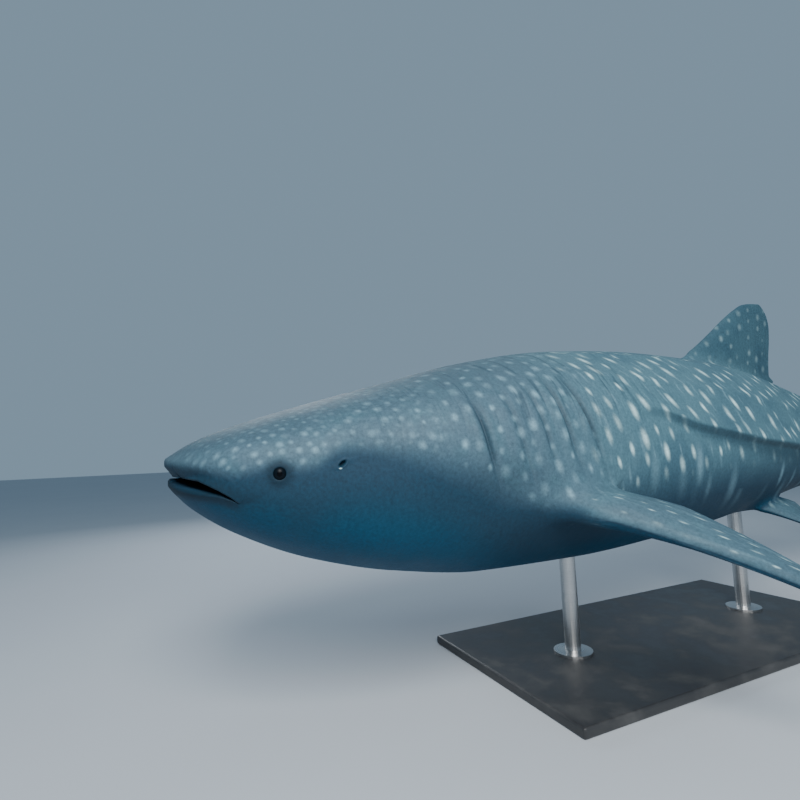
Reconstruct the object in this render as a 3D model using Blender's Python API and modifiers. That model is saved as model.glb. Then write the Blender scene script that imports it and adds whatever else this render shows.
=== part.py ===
"""Whale shark: a still, life-size model on a plain display stand.

The shark swims towards -X, its left side faces -Y and +Z is up. The origin is on the floor, under the
middle of the stand's base. The shark's proportions are written in hundredths of its total length: s is
the station aft of the snout, y is to its right, and z is the height above the body's own axis.
"""
import bpy
import bmesh
import numpy as np
from math import cos, pi, radians, sin
from mathutils import Matrix, Vector

# Driving dimensions, in metres
TOTAL_LENGTH = 7.5
HUNDREDTH = TOTAL_LENGTH / 100
AXIS_HEIGHT = 1.22
GAP = 0.0003
BASE_SIZE = (2.6, 1.3, 0.05)
BASE_EDGE = 0.012
ROD_RADIUS = 0.045
ROD_FOOT_RADIUS = 0.11
ROD_FOOT_HEIGHT = 0.02

# All below in hundredths of the total length, and in degrees
BALANCE_STATION = 39.0
ROD_STATIONS = {"stand_rod_front": 29.0, "stand_rod_rear": 50.0}

# Body sections: station, half width, height above the axis, depth below it
SECTIONS = (
    (0.0, 4.9, 0.48, 0.80),
    (1.5, 5.9, 1.36, 2.40),
    (4.0, 6.7, 2.30, 4.05),
    (8.0, 7.6, 3.50, 5.80),
    (13.0, 8.65, 4.85, 7.10),
    (19.0, 9.15, 6.45, 7.90),
    (27.0, 8.7, 7.75, 8.00),
    (36.0, 8.0, 8.25, 7.50),
    (46.0, 6.8, 8.00, 6.35),
    (56.0, 5.2, 6.30, 4.50),
    (66.0, 3.7, 4.20, 2.85),
    (78.0, 2.0, 2.35, 1.70),
    (81.5, 1.15, 1.50, 1.20),
    (84.5, 0.3, 0.45, 0.45),
)
# The axis falls a little towards the tail: station, slope
AXIS_SLOPE = ((0.0, 0.0), (15.0, 0.0), (45.0, -0.93), (75.0, -5.9), (100.0, -5.9))
# Roundness of a section, the power of its superellipse: station, upper half, lower half
ROUNDNESS = ((12.0, 2.4, 2.35), (34.0, 1.85, 2.15))
# The broad snout is rounded in plan over this length
SNOUT_LENGTH = 5.0
SNOUT_POWER = 2.6
# The front of the snout runs back towards the mouth: height, distance aft, fading out at a station
SNOUT_UNDERCUT = ((-1.45, 0.0), (-1.1, 0.08), (-0.95, 0.2), (-0.8, 0.33), (-0.62, 0.5), (-0.25, 0.33),
                  (0.1, 0.1), (0.3, 0.1), (0.48, 0.17))
UNDERCUT_END = 3.0

NODE_ENDS = {"head": (0.0, 24.0), "trunk": (24.0, 62.0), "tail": (62.0, 84.5)}
# Ring spacing of the surface: up to this station, about this far apart
RING_SPACING = ((2.0, 0.45), (6.0, 0.8), (15.0, 1.2), (24.0, 1.0), (62.0, 1.9), (84.5, 1.5))

# The three ridges of each flank: (station, angle) and (station, height); the lowest becomes the keel
RIDGES = {
    "lower": (((31.0, 20.0), (35.0, 12.5), (44.0, 3.5), (50.0, 0.0)),
              ((28.0, 0.0), (38.0, 0.32), (62.0, 0.4), (75.0, 1.1), (79.0, 0.8), (83.0, 0.0))),
    "middle": (((24.0, 42.0), (56.0, 26.0), (76.0, 22.0)),
               ((20.0, 0.0), (30.0, 0.24), (62.0, 0.22), (72.0, 0.0))),
    "upper": (((20.0, 66.0), (62.0, 56.0)),
              ((18.0, 0.0), (27.0, 0.22), (60.0, 0.22), (68.0, 0.0))),
}
RIDGE_HALF_WIDTH = 3.4

# The mouth in side view, as (s, z): edge of the upper lip, then edge of the lower lip
UPPER_LIP = ((0.0, -0.55), (0.6, -0.56), (1.4, -0.66), (2.0, -0.91), (2.53, -1.18), (3.05, -1.53),
             (3.45, -1.92))
LOWER_LIP = ((0.0, -0.72), (0.19, -0.94), (0.75, -1.22), (1.4, -1.38), (2.0, -1.47), (2.6, -1.56),
             (3.1, -1.74), (3.45, -1.92))
THROAT_POINT = (6.6, -6.6)
LIP_RADIUS = 0.13
# How far the cuts between head and jaw run past the body
CUT_AHEAD = -4.0
CUT_BELOW = -14.0
CUT_HALF_BREADTH = 12.0

EYE_PLACE = (5.2, -0.5)
EYE_RADIUS = 0.40
EYE_BULGE = 0.12
LID_RADIUS = 0.30
LID_THICKNESS = 0.08
SPIRACLE_PLACE = (8.2, -0.15)
SPIRACLE_SIZE = (0.22, 0.3, 0.09)
SPIRACLE_SLANT = 40.0
NOSTRIL_OFFSET = 2.5
NOSTRIL_HEIGHT = -0.30
NOSTRIL_SIZE = (0.22, 0.16, 0.08)
BARBEL_LENGTH = 0.2
BARBEL_RADIUS = 0.07
BARBEL_LIE = (-0.93, 0.0, -0.36)
BARBEL_SINK = (0.006, 0.0, 0.0)

# Gill slits: their upper ends from first to last, then their lower ends, as (s, z)
GILL_TOPS = ((15.65, 3.0), (17.6, 3.6), (19.4, 4.1), (21.1, 4.3), (22.6, 4.4))
GILL_BOTTOMS = ((16.6, -2.0), (18.6, -1.8), (20.3, -1.5), (21.9, -1.2), (23.4, -0.7))
GILL_WIDTH = 0.16
GILL_DEPTH = 0.5
GILL_RAKE = 0.9
GILL_CURVE = 1.3
GILL_CUT_ABOVE = 0.3

# Paired fins: root (s, y, z) at the front, then the plan of the fin in its own plane
PECTORAL = {"root": (19.7, -8.23, -3.11), "root_chord": 4.6, "span": 12.7, "tip_aft": 12.3,
            "lobe": (3.6, 7.9), "droop": 14.0, "curl": 3.35, "incidence": (12.0, 6.0),
            "thickness": (2.3, 1.0, 0.3), "sunk": 4.0}
PELVIC = {"root": (46.4, -3.7, -5.2), "root_chord": 3.6, "span": 4.6, "tip_aft": 4.9,
          "lobe": (1.2, 5.0), "droop": 28.0, "curl": 0.4, "incidence": (12.0, 6.0),
          "thickness": (0.9, 0.5, 0.2), "sunk": 2.0}

# Upright fins: rows from the root outwards, each ((s, z) at the front, (s, z) at the back, thickness)
DORSAL_FIRST = (
    ((46.0, 3.5), (56.8, 3.5), 1.7), ((45.2, 6.0), (57.2, 5.4), 1.7), ((44.6, 8.1), (58.0, 6.3), 1.6),
    ((45.5, 8.8), (58.3, 6.8), 1.4), ((46.6, 9.6), (57.6, 7.5), 1.3), ((48.9, 11.2), (57.8, 9.5), 1.1),
    ((50.9, 12.7), (58.1, 11.3), 0.9), ((52.7, 13.9), (58.2, 12.7), 0.7), ((54.0, 14.6), (57.95, 13.8), 0.5),
    ((55.4, 14.9), (57.4, 14.6), 0.35), ((56.4, 15.0), (57.0, 14.95), 0.25),
)
DORSAL_SECOND = (
    ((67.8, 1.6), (71.0, 1.4), 0.8), ((67.1, 3.3), (71.3, 2.7), 0.8), ((67.3, 4.1), (72.2, 3.4), 0.75),
    ((68.4, 5.1), (71.9, 4.1), 0.6), ((69.7, 6.1), (72.1, 5.3), 0.45), ((70.8, 6.8), (72.3, 6.3), 0.3),
    ((71.5, 7.0), (72.2, 6.9), 0.2),
)
ANAL = (
    ((69.2, -1.0), (72.2, -0.9), 0.8), ((68.7, -2.2), (72.6, -1.8), 0.8), ((68.9, -2.8), (73.4, -2.3), 0.7),
    ((70.0, -3.8), (73.2, -3.1), 0.55), ((71.2, -4.8), (73.4, -4.2), 0.4), ((72.3, -5.5), (73.6, -5.1), 0.3),
    ((73.0, -5.7), (73.6, -5.6), 0.2),
)
CAUDAL_UPPER = (
    ((78.5, 0.15), (84.3, 0.15), 1.3), ((76.9, 1.7), (85.9, 1.8), 1.3), ((78.2, 3.3), (87.4, 3.8), 1.1),
    ((81.0, 6.0), (89.3, 6.3), 0.9), ((84.8, 9.2), (91.2, 9.0), 0.75), ((88.8, 12.3), (93.0, 11.6), 0.6),
    ((92.6, 15.0), (95.0, 14.2), 0.45), ((95.6, 17.0), (96.6, 16.5), 0.3), ((97.0, 17.9), (97.4, 17.7), 0.2),
)
CAUDAL_LOWER = (
    ((78.8, -0.15), (84.3, -0.15), 1.2), ((77.8, -1.2), (84.9, -1.2), 1.2),
    ((79.3, -3.2), (85.6, -3.2), 0.95),
    ((81.4, -5.9), (86.2, -5.9), 0.7), ((83.4, -8.6), (86.6, -8.6), 0.5), ((85.2, -10.7), (87.0, -10.7), 0.3),
    ((86.2, -11.6), (86.9, -11.5), 0.2),
)
# A fin's section: distance along the chord, half thickness, both as shares
FIN_SECTION = ((0.0, 0.25), (0.05, 0.60), (0.18, 0.90), (0.38, 1.0), (0.62, 0.74), (0.84, 0.36), (1.0, 0.10))
FIN_EDGE = 0.04
# Rows of a paired fin from its lobe to its tip, as shares
FIN_ROWS = (0.1, 0.22, 0.36, 0.5, 0.64, 0.77, 0.88, 0.96, 0.99)

MATERIALS = {
    "skin": ((0.17, 0.21, 0.23), 0.55, 0.0),
    "eye": ((0.01, 0.01, 0.012), 0.1, 0.0),
    "stand_paint": ((0.03, 0.03, 0.032), 0.5, 0.0),
    "stand_steel": ((0.55, 0.55, 0.56), 0.35, 1.0),
}


def smooth_curve(table, column):
    """A smooth function of the station through one column of a table, with no overshoot."""
    x = np.array([row[0] for row in table])
    y = np.array([row[column] for row in table])
    step = np.diff(x)
    rise = np.diff(y) / step
    slope = np.zeros_like(y)
    same_sign = rise[:-1] * rise[1:] > 0
    total = np.where(same_sign, rise[:-1] + rise[1:], 1.0)
    slope[1:-1] = np.where(same_sign, 2 * rise[:-1] * rise[1:] / total, 0.0)
    slope[0], slope[-1] = rise[0], rise[-1]

    def value(s):
        i = np.clip(np.searchsorted(x, s) - 1, 0, len(step) - 1)
        t = np.clip((s - x[i]) / step[i], 0.0, 1.0)
        return ((1 + 2 * t) * (1 - t) ** 2 * y[i] + t * (1 - t) ** 2 * step[i] * slope[i]
                + t * t * (3 - 2 * t) * y[i + 1] + t * t * (t - 1) * step[i] * slope[i + 1])
    return value


def steps(table, s):
    """Straight-line value of a (station, value) table at s, held beyond its ends."""
    return np.interp(s, [row[0] for row in table], [row[1] for row in table])


half_width = smooth_curve(SECTIONS, 1)
height_above = smooth_curve(SECTIONS, 2)
depth_below = smooth_curve(SECTIONS, 3)


def axis_table():
    """Station, distance aft of the snout, height and slope along the body axis."""
    stations = np.linspace(0.0, 100.0, 401)
    slope = np.radians(steps(AXIS_SLOPE, stations))
    step = stations[1]
    aft = np.cumsum(np.cos(slope)) * step - step
    up = np.cumsum(np.sin(slope)) * step
    return stations, aft, up, slope


AXIS = axis_table()


def axis_at(s):
    """Distance aft of the snout, height and slope of the body axis at station s."""
    return tuple(np.interp(s, AXIS[0], column) for column in AXIS[1:])


def place(s, y, z):
    """World position, in metres, of points given by station, offset to the right and height."""
    aft, up, slope = axis_at(s)
    x = (aft - np.sin(slope) * z - BALANCE_STATION) * HUNDREDTH
    height = (up + np.cos(slope) * z) * HUNDREDTH + AXIS_HEIGHT
    return np.stack(np.broadcast_arrays(x, np.asarray(y) * HUNDREDTH, height), axis=-1)


def snout_taper(s):
    """Share of the half width that the rounded snout has in plan."""
    t = np.clip(s / SNOUT_LENGTH, 0.0, 1.0)
    return (1 - (1 - t) ** SNOUT_POWER) ** (1 / SNOUT_POWER)


def undercut(s, z):
    """How far aft the front of the snout lies at height z."""
    return steps(SNOUT_UNDERCUT, z) * np.clip(1 - s / UNDERCUT_END, 0.0, 1.0)


def powers(s):
    """Superellipse powers of the upper and lower half of the section at s."""
    upper = steps([(row[0], row[1]) for row in ROUNDNESS], s)
    lower = steps([(row[0], row[2]) for row in ROUNDNESS], s)
    return upper, lower


def half_ring(s):
    """Angles from the belly (-90) up the left side to the back (90), and the ridges' rise at each."""
    angles = [-90.0]
    rises = [0.0]
    for name, spans in (("lower", 9), ("middle", 2), ("upper", 2)):
        crest = steps(RIDGES[name][0], s)
        foot = crest - RIDGE_HALF_WIDTH
        angles += list(np.linspace(angles[-1], foot, spans + 1)[1:]) + [crest, crest + RIDGE_HALF_WIDTH]
        rises += [0.0] * spans + [steps(RIDGES[name][1], s), 0.0]
    angles += list(np.linspace(angles[-1], 90.0, 4)[1:])
    rises += [0.0] * 3
    return np.radians(angles), np.array(rises)


def body_ring(s):
    """The closed ring of surface points at station s, from the belly up the left side and back."""
    angle, rise = half_ring(s)
    upper, lower = powers(s)
    power = np.where(angle >= 0, upper, lower)
    side, lift = np.cos(angle).clip(0.0, 1.0), np.sin(angle)
    y = -half_width(s) * snout_taper(s) * side ** (2 / power)
    reach = np.where(angle >= 0, height_above(s), depth_below(s))
    z = reach * np.sign(lift) * np.abs(lift) ** (2 / power)
    y, z = y - rise * side, z + rise * lift
    y[0] = y[-1] = 0.0
    left = place(s + undercut(s, z), y, z)
    right = left[-2:0:-1] * (1.0, -1.0, 1.0)
    return np.concatenate([left, right])


def surface_point(s, z, side):
    """World point on the flank at station s and height z; side is -1 on the left, 1 on the right."""
    upper, lower = powers(s)
    reach, power = (height_above(s), upper) if z >= 0 else (depth_below(s), lower)
    share = (1 - min(abs(z) / reach, 0.999) ** power) ** (1 / power)
    y = side * half_width(s) * snout_taper(s) * share
    return Vector(place(s + undercut(s, z), y, z))


def surface_normal(s, z, side):
    """Outward normal of the flank there."""
    d = 0.05
    along = surface_point(s + d, z, side) - surface_point(s, z, side)
    up = surface_point(s, z + d, side) - surface_point(s, z, side)
    return (along.cross(up) * -side).normalized()


def mesh_object(name, collection, vertices, faces):
    """A mesh object whose faces point outwards."""
    mesh = bpy.data.meshes.new(name)
    mesh.from_pydata([tuple(map(float, v)) for v in vertices], [], faces)
    bm = bmesh.new()
    bm.from_mesh(mesh)
    bmesh.ops.recalc_face_normals(bm, faces=bm.faces)
    if bm.calc_volume(signed=True) < 0:
        bmesh.ops.reverse_faces(bm, faces=bm.faces)
    bm.to_mesh(mesh)
    bm.free()
    obj = bpy.data.objects.new(name, mesh)
    collection.objects.link(obj)
    return obj


def loft(name, collection, rings):
    """A closed solid through rings of equal count, split alike on its two mirrored halves."""
    count = len(rings[0])
    vertices = [v for ring in rings for v in ring]
    faces = []
    for i in range(len(rings) - 1):
        for j in range(count):
            k = (j + 1) % count
            a, b, c, d = i * count + j, i * count + k, (i + 1) * count + k, (i + 1) * count + j
            faces += [(a, b, c), (a, c, d)] if j < count // 2 else [(a, b, d), (b, c, d)]
    for first, ring in ((0, rings[0]), ((len(rings) - 1) * count, rings[-1])):
        vertices.append(np.mean(ring, axis=0))
        centre = len(vertices) - 1
        faces += [(centre, first + j, first + (j + 1) % count) for j in range(count)]
    return mesh_object(name, collection, vertices, faces)


def ring_stations(start, end):
    """Stations of the rings between two ends, close together where the form is fine."""
    marks = [start] + [s for s, _ in RING_SPACING if start < s < end] + [end]
    stations = [start]
    for a, b in zip(marks, marks[1:]):
        spacing = next(width for s, width in RING_SPACING if b <= s + 1e-9)
        stations += list(np.linspace(a, b, round((b - a) / spacing) + 1)[1:])
    return stations


def body_solid(name, collection, start, end):
    """A length of the body; the snout's first rings crowd together, where it rounds off."""
    stations = ring_stations(start, end)
    if start == 0.0:
        stations = [0.02, 0.08, 0.22] + stations[1:]
    half_gap = GAP / 2 / HUNDREDTH
    if start > 0.0:
        stations[0] += half_gap
    if end < NODE_ENDS["tail"][1]:
        stations[-1] -= half_gap
    return loft(name, collection, [body_ring(s) for s in stations])


def tube(name, collection, path, radii, sides=6):
    """A round bar along a path of points."""
    rings = []
    for i, point in enumerate(path):
        ahead = (path[min(i + 1, len(path) - 1)] - path[max(i - 1, 0)]).normalized()
        across = ahead.cross(Vector((0, 0, 1))).normalized()
        over = across.cross(ahead)
        turns = [2 * pi * j / sides for j in range(sides)]
        rings.append([point + radii[i] * (across * cos(t) + over * sin(t)) for t in turns])
    return loft(name, collection, rings)


def modifier_boolean(target, cutter, operation):
    """Cut or join target with another object, with the exact solver."""
    modifier = target.modifiers.new(cutter.name, "BOOLEAN")
    modifier.operation = operation
    modifier.object = cutter
    modifier.solver = "EXACT"


def settle(obj):
    """Apply the modifiers and keep only the largest closed surface."""
    graph = bpy.context.evaluated_depsgraph_get()
    mesh = bpy.data.meshes.new_from_object(obj.evaluated_get(graph))
    obj.modifiers.clear()
    obj.data = mesh
    bm = bmesh.new()
    bm.from_mesh(mesh)
    shells, seen = [], set()
    for start in bm.verts:
        if start in seen:
            continue
        shell, queue = set(), [start]
        while queue:
            vert = queue.pop()
            if vert not in shell:
                shell.add(vert)
                queue += [edge.other_vert(vert) for edge in vert.link_edges]
        seen |= shell
        shells.append(shell)
    shells.sort(key=lambda shell: bounding_volume([v.co for v in shell]))
    bmesh.ops.delete(bm, geom=[v for shell in shells[:-1] for v in shell], context="VERTS")
    bm.to_mesh(mesh)
    bm.free()


def bounding_volume(points):
    """Volume of the box around some points."""
    size = np.ptp(np.array(points), axis=0)
    return float(np.prod(size))


def hide_cutter(obj):
    """Mark an object that only cuts others."""
    obj.hide_render = True
    obj.display_type = "WIRE"


def grown_copy(source, name, collection, distance):
    """A cutter: a copy of a solid with its surface moved outwards."""
    mesh = source.data.copy()
    bm = bmesh.new()
    bm.from_mesh(mesh)
    bm.normal_update()
    moves = [(v, v.normal.copy()) for v in bm.verts]
    for vert, normal in moves:
        vert.co += normal * distance
    bm.to_mesh(mesh)
    bm.free()
    obj = bpy.data.objects.new(name, mesh)
    collection.objects.link(obj)
    hide_cutter(obj)
    return obj


def side_prism(name, collection, outline):
    """A closed prism right across the shark from an outline of (s, z) points."""
    left = [place(s, -CUT_HALF_BREADTH, z) for s, z in outline]
    right = [place(s, CUT_HALF_BREADTH, z) for s, z in outline]
    count = len(outline)
    faces = [tuple(range(count)), tuple(reversed(range(count, 2 * count)))]
    faces += [(j, (j + 1) % count, count + (j + 1) % count, count + j) for j in range(count)]
    obj = mesh_object(name, collection, left + right, faces)
    hide_cutter(obj)
    return obj


def ball(name, collection, centre, radii, axes, segments=16, rings=10):
    """A sphere or ellipsoid with its axes along the columns of a matrix."""
    mesh = bpy.data.meshes.new(name)
    bm = bmesh.new()
    bmesh.ops.create_uvsphere(bm, u_segments=segments, v_segments=rings, radius=1.0)
    for vert in bm.verts:
        scaled = Vector((vert.co.x * radii[0], vert.co.y * radii[1], vert.co.z * radii[2]))
        vert.co = axes @ scaled
    bm.to_mesh(mesh)
    bm.free()
    obj = bpy.data.objects.new(name, mesh)
    obj.location = centre
    collection.objects.link(obj)
    return obj


def flank_axes(s, z, side, slant=0.0):
    """Rotation with X aft along the flank, turned up by the slant, and Z out of it."""
    out = surface_normal(s, z, side)
    aft = (Vector((1, 0, 0)) - out * out.x).normalized()
    up = out.cross(aft) * -side
    along = aft * cos(radians(slant)) + up * sin(radians(slant))
    return Matrix((along, out.cross(along), out)).transposed()


def lip_path(outline, side_lift):
    """Points along a lip, from the left corner of the mouth round the snout to the right corner."""
    corner = outline[-1][0]
    path = []
    for t in np.linspace(-1.0, 1.0, 31):
        s = corner * abs(t) ** SNOUT_POWER
        z = steps(outline, s) + side_lift
        path.append(surface_point(max(s, 0.002), z, 1.0 if t > 0 else -1.0))
    middle = len(path) // 2
    path[middle] = (path[middle - 1] + path[middle + 1]) / 2
    return path


def lips(collection):
    """The rolled edges of the upper and the lower lip."""
    pieces = []
    for name, outline, lift in (("upper_lip", UPPER_LIP, 0.6), ("lower_lip", LOWER_LIP, -0.6)):
        path = lip_path(outline, lift * LIP_RADIUS)
        radii = [LIP_RADIUS * HUNDREDTH * (0.55 + 0.45 * sin(pi * i / (len(path) - 1)) ** 0.3)
                 for i in range(len(path))]
        pieces.append(tube(name, collection, path, radii))
    return pieces


def lid_rings(collection):
    """A low rim of skin round each eye."""
    pieces = []
    for side in (-1, 1):
        axes = flank_axes(*EYE_PLACE, side)
        centre = surface_point(*EYE_PLACE, side)
        rings = []
        for turn in np.linspace(0, 2 * pi, 20, endpoint=False):
            spoke = axes @ Vector((cos(turn), sin(turn), 0))
            middle = centre + spoke * LID_RADIUS * HUNDREDTH
            out = axes @ Vector((0, 0, 1))
            thick = LID_THICKNESS * HUNDREDTH
            rings.append([middle + thick * (spoke * cos(a) + out * sin(a))
                          for a in np.linspace(0, 2 * pi, 6, endpoint=False)])
        count = len(rings)
        vertices = [v for ring in rings for v in ring]
        faces = [(i * 6 + j, i * 6 + (j + 1) % 6, (i + 1) % count * 6 + (j + 1) % 6, (i + 1) % count * 6 + j)
                 for i in range(count) for j in range(6)]
        pieces.append(mesh_object("lid", collection, vertices, faces))
    return pieces


def nostril_station():
    """Station where the rounded snout is as wide as the nostrils are apart."""
    share = NOSTRIL_OFFSET / half_width(0.0)
    return SNOUT_LENGTH * (1 - (1 - share ** SNOUT_POWER) ** (1 / SNOUT_POWER))


def barbels(collection):
    """A short barbel in front of each nostril."""
    pieces = []
    for side in (-1, 1):
        root = surface_point(nostril_station(), NOSTRIL_HEIGHT - 0.12, side) + Vector(BARBEL_SINK)
        tip = root + Vector(BARBEL_LIE).normalized() * BARBEL_LENGTH * HUNDREDTH
        radius = BARBEL_RADIUS * HUNDREDTH
        pieces.append(tube("barbel", collection, [root, (root + tip) / 2, tip],
                           [radius, radius * 0.85, radius * 0.4]))
    return pieces


def gill_cutters(collection):
    """Raked slots, so that each gill cover ends in a thin edge over the slit behind it."""
    cutters = []
    for side in (-1, 1):
        for top, bottom in zip(GILL_TOPS, GILL_BOTTOMS):
            rings = []
            for t in np.linspace(0, 1, 8):
                s = top[0] + (bottom[0] - top[0]) * t ** GILL_CURVE
                z = top[1] + (bottom[1] - top[1]) * t
                middle = surface_point(s, z, side)
                out = surface_normal(s, z, side)
                aft = (Vector((1, 0, 0)) - out * out.x).normalized()
                open_share = 0.25 + 0.75 * sin(pi * min(t * 0.9 + 0.06, 1.0))
                half = aft * GILL_WIDTH / 2 * open_share * HUNDREDTH
                rake = (-out - aft * GILL_RAKE).normalized() * GILL_DEPTH * open_share * HUNDREDTH
                above = (out + aft * GILL_RAKE) * GILL_CUT_ABOVE * HUNDREDTH
                rings.append([middle + above - half, middle + above + half,
                              middle + rake + half * 0.4, middle + rake - half * 0.4])
            cutter = loft("gill_slot", collection, rings)
            hide_cutter(cutter)
            cutters.append(cutter)
    return cutters


def front_of_body(body):
    """The head with lips, lids and barbels joined on, before the mouth is cut."""
    pieces = bpy.data.collections.new("head_pieces")
    bpy.context.scene.collection.children.link(pieces)
    lips(pieces)
    lid_rings(pieces)
    barbels(pieces)
    head = body_solid("head", body, *NODE_ENDS["head"])
    union = head.modifiers.new("join", "BOOLEAN")
    union.operation = "UNION"
    union.operand_type = "COLLECTION"
    union.collection = pieces
    union.solver = "EXACT"
    settle(head)
    for piece in list(pieces.objects):
        bpy.data.objects.remove(piece)
    bpy.data.collections.remove(pieces)
    return head


def build_head_and_jaw(body, cutters):
    """Head and lower jaw, parted by the open mouth and a thin cut down to the throat."""
    head = front_of_body(body)
    jaw = bpy.data.objects.new("lower_jaw", head.data.copy())
    body.objects.link(jaw)
    shift = GAP / HUNDREDTH
    back_edge = [(s + shift, z + shift) for s, z in (UPPER_LIP[-1], THROAT_POINT)]
    head_cut = [(CUT_AHEAD, UPPER_LIP[0][1]), *UPPER_LIP[:-1], *back_edge,
                (back_edge[-1][0], CUT_BELOW), (CUT_AHEAD, CUT_BELOW)]
    jaw_part = [(CUT_AHEAD, LOWER_LIP[0][1]), *LOWER_LIP, THROAT_POINT,
                (THROAT_POINT[0], CUT_BELOW), (CUT_AHEAD, CUT_BELOW)]
    modifier_boolean(head, side_prism("mouth_cut", cutters, head_cut), "DIFFERENCE")
    modifier_boolean(jaw, side_prism("jaw_part", cutters, jaw_part), "INTERSECT")
    settle(jaw)

    for cutter in gill_cutters(cutters):
        modifier_boolean(head, cutter, "DIFFERENCE")
    for side, word in ((-1, "left"), (1, "right")):
        out = surface_normal(*EYE_PLACE, side)
        centre = surface_point(*EYE_PLACE, side) - out * (EYE_RADIUS - EYE_BULGE) * HUNDREDTH
        axes = flank_axes(*EYE_PLACE, side)
        radius = EYE_RADIUS * HUNDREDTH
        ball("eye_" + word, body, centre, [radius] * 3, axes)
        socket = ball("socket_" + word, cutters, centre, [radius + GAP] * 3, axes)
        spiracle = ball("spiracle_" + word, cutters, surface_point(*SPIRACLE_PLACE, side),
                        [SPIRACLE_SIZE[0] * HUNDREDTH, SPIRACLE_SIZE[2] * HUNDREDTH,
                         SPIRACLE_SIZE[1] * HUNDREDTH],
                        flank_axes(*SPIRACLE_PLACE, side, SPIRACLE_SLANT), 12, 8)
        nostril_at = (nostril_station(), NOSTRIL_HEIGHT, side)
        nostril = ball("nostril_" + word, cutters, surface_point(*nostril_at),
                       [NOSTRIL_SIZE[0] * HUNDREDTH, NOSTRIL_SIZE[2] * HUNDREDTH,
                        NOSTRIL_SIZE[1] * HUNDREDTH], flank_axes(*nostril_at), 12, 8)
        for cutter in (socket, spiracle, nostril):
            hide_cutter(cutter)
            modifier_boolean(head, cutter, "DIFFERENCE")
    settle(head)


def fin_ring(front, back, thickness, across):
    """One section of a fin: a rounded front edge, thickest ahead of the middle, a thin back edge."""
    front, back, across = Vector(front), Vector(back), Vector(across).normalized()
    ring = []
    for side, section in ((1, FIN_SECTION), (-1, FIN_SECTION[::-1])):
        for along, share in section:
            half = max(thickness / 2 * share, FIN_EDGE) * HUNDREDTH
            ring.append(front.lerp(back, along) + across * half * side)
    return ring


def refine_rows(rows, count):
    """More rows along the fin, on smooth curves through the given ones."""
    table = [(i, *front, *back, thickness) for i, (front, back, thickness) in enumerate(rows)]
    curves = [smooth_curve(table, column) for column in range(1, 6)]
    for t in np.linspace(0, len(rows) - 1, count):
        values = [float(curve(t)) for curve in curves]
        yield values[0:2], values[2:4], values[4]


def upright_fin(name, body, rows, envelope):
    """A fin in the middle plane, cut where it meets the body."""
    rings = []
    for front, back, thickness in refine_rows(rows, 2 * len(rows) - 1):
        rings.append(fin_ring(place(front[0], 0.0, front[1]), place(back[0], 0.0, back[1]),
                              thickness, (0, 1, 0)))
    fin = loft(name, body, rings)
    modifier_boolean(fin, envelope, "DIFFERENCE")
    settle(fin)


def paired_fin_point(fin, outward, aft, side):
    """World point of a paired fin at a distance out along the span and aft of the root's front."""
    share = outward / fin["span"]
    lead = fin["tip_aft"] * share
    root_angle, tip_angle = fin["incidence"]
    tilt = radians(root_angle + (tip_angle - root_angle) * np.clip(share, 0.0, 1.0))
    droop = radians(fin["droop"])
    s0, y0, z0 = fin["root"]
    s = s0 + lead + (aft - lead) * cos(tilt)
    y = y0 - outward * cos(droop)
    z = z0 - outward * sin(droop) - fin["curl"] * max(share, 0.0) ** 2 + (aft - lead) * sin(tilt)
    return Vector(place(s, -side * y, z))


def paired_fin(name, body, fin, side, envelope):
    """A pectoral or pelvic fin: swept front edge, free lobe at the back of its root, pointed tip."""
    lobe_out, lobe_aft = fin["lobe"]
    rings = []
    inner = [-fin["sunk"], 0.0, lobe_out * 0.45, lobe_out * 0.85, lobe_out]
    outer = list(lobe_out + (fin["span"] - lobe_out) * np.array(FIN_ROWS))
    for outward in inner + outer:
        share = max(outward, 0.0) / fin["span"]
        lead = fin["tip_aft"] * share if outward > 0 else 0.0
        if outward <= lobe_out:
            reach = max(outward, 0.0) / lobe_out
            trail = fin["root_chord"] + (lobe_aft - fin["root_chord"]) * reach
        else:
            reach = (outward - lobe_out) / (fin["span"] - lobe_out)
            trail = lobe_aft + (fin["tip_aft"] - lobe_aft) * reach
        thickness = np.interp(share, (0.0, 0.45, 1.0), fin["thickness"])
        front = paired_fin_point(fin, outward, lead, side)
        back = paired_fin_point(fin, outward, trail, side)
        further = paired_fin_point(fin, outward + 0.5, lead + 0.5 * fin["tip_aft"] / fin["span"], side)
        across = (back - front).cross(further - front)
        rings.append(fin_ring(front, back, thickness, across))
    solid = loft(name, body, rings)
    modifier_boolean(solid, envelope, "DIFFERENCE")
    settle(solid)


def build_base(body):
    """The stand's flat base, with its edges rounded off."""
    length, breadth, thickness = BASE_SIZE
    bpy.ops.mesh.primitive_cube_add(size=1.0, location=(0, 0, thickness / 2))
    base = bpy.context.object
    base.name = "stand_base"
    base.scale = BASE_SIZE
    bpy.ops.object.transform_apply(location=False, rotation=False, scale=True)
    bevel = base.modifiers.new("edges", "BEVEL")
    bevel.width = BASE_EDGE
    bevel.segments = 3
    for owner in list(base.users_collection):
        owner.objects.unlink(base)
    body.objects.link(base)


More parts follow.
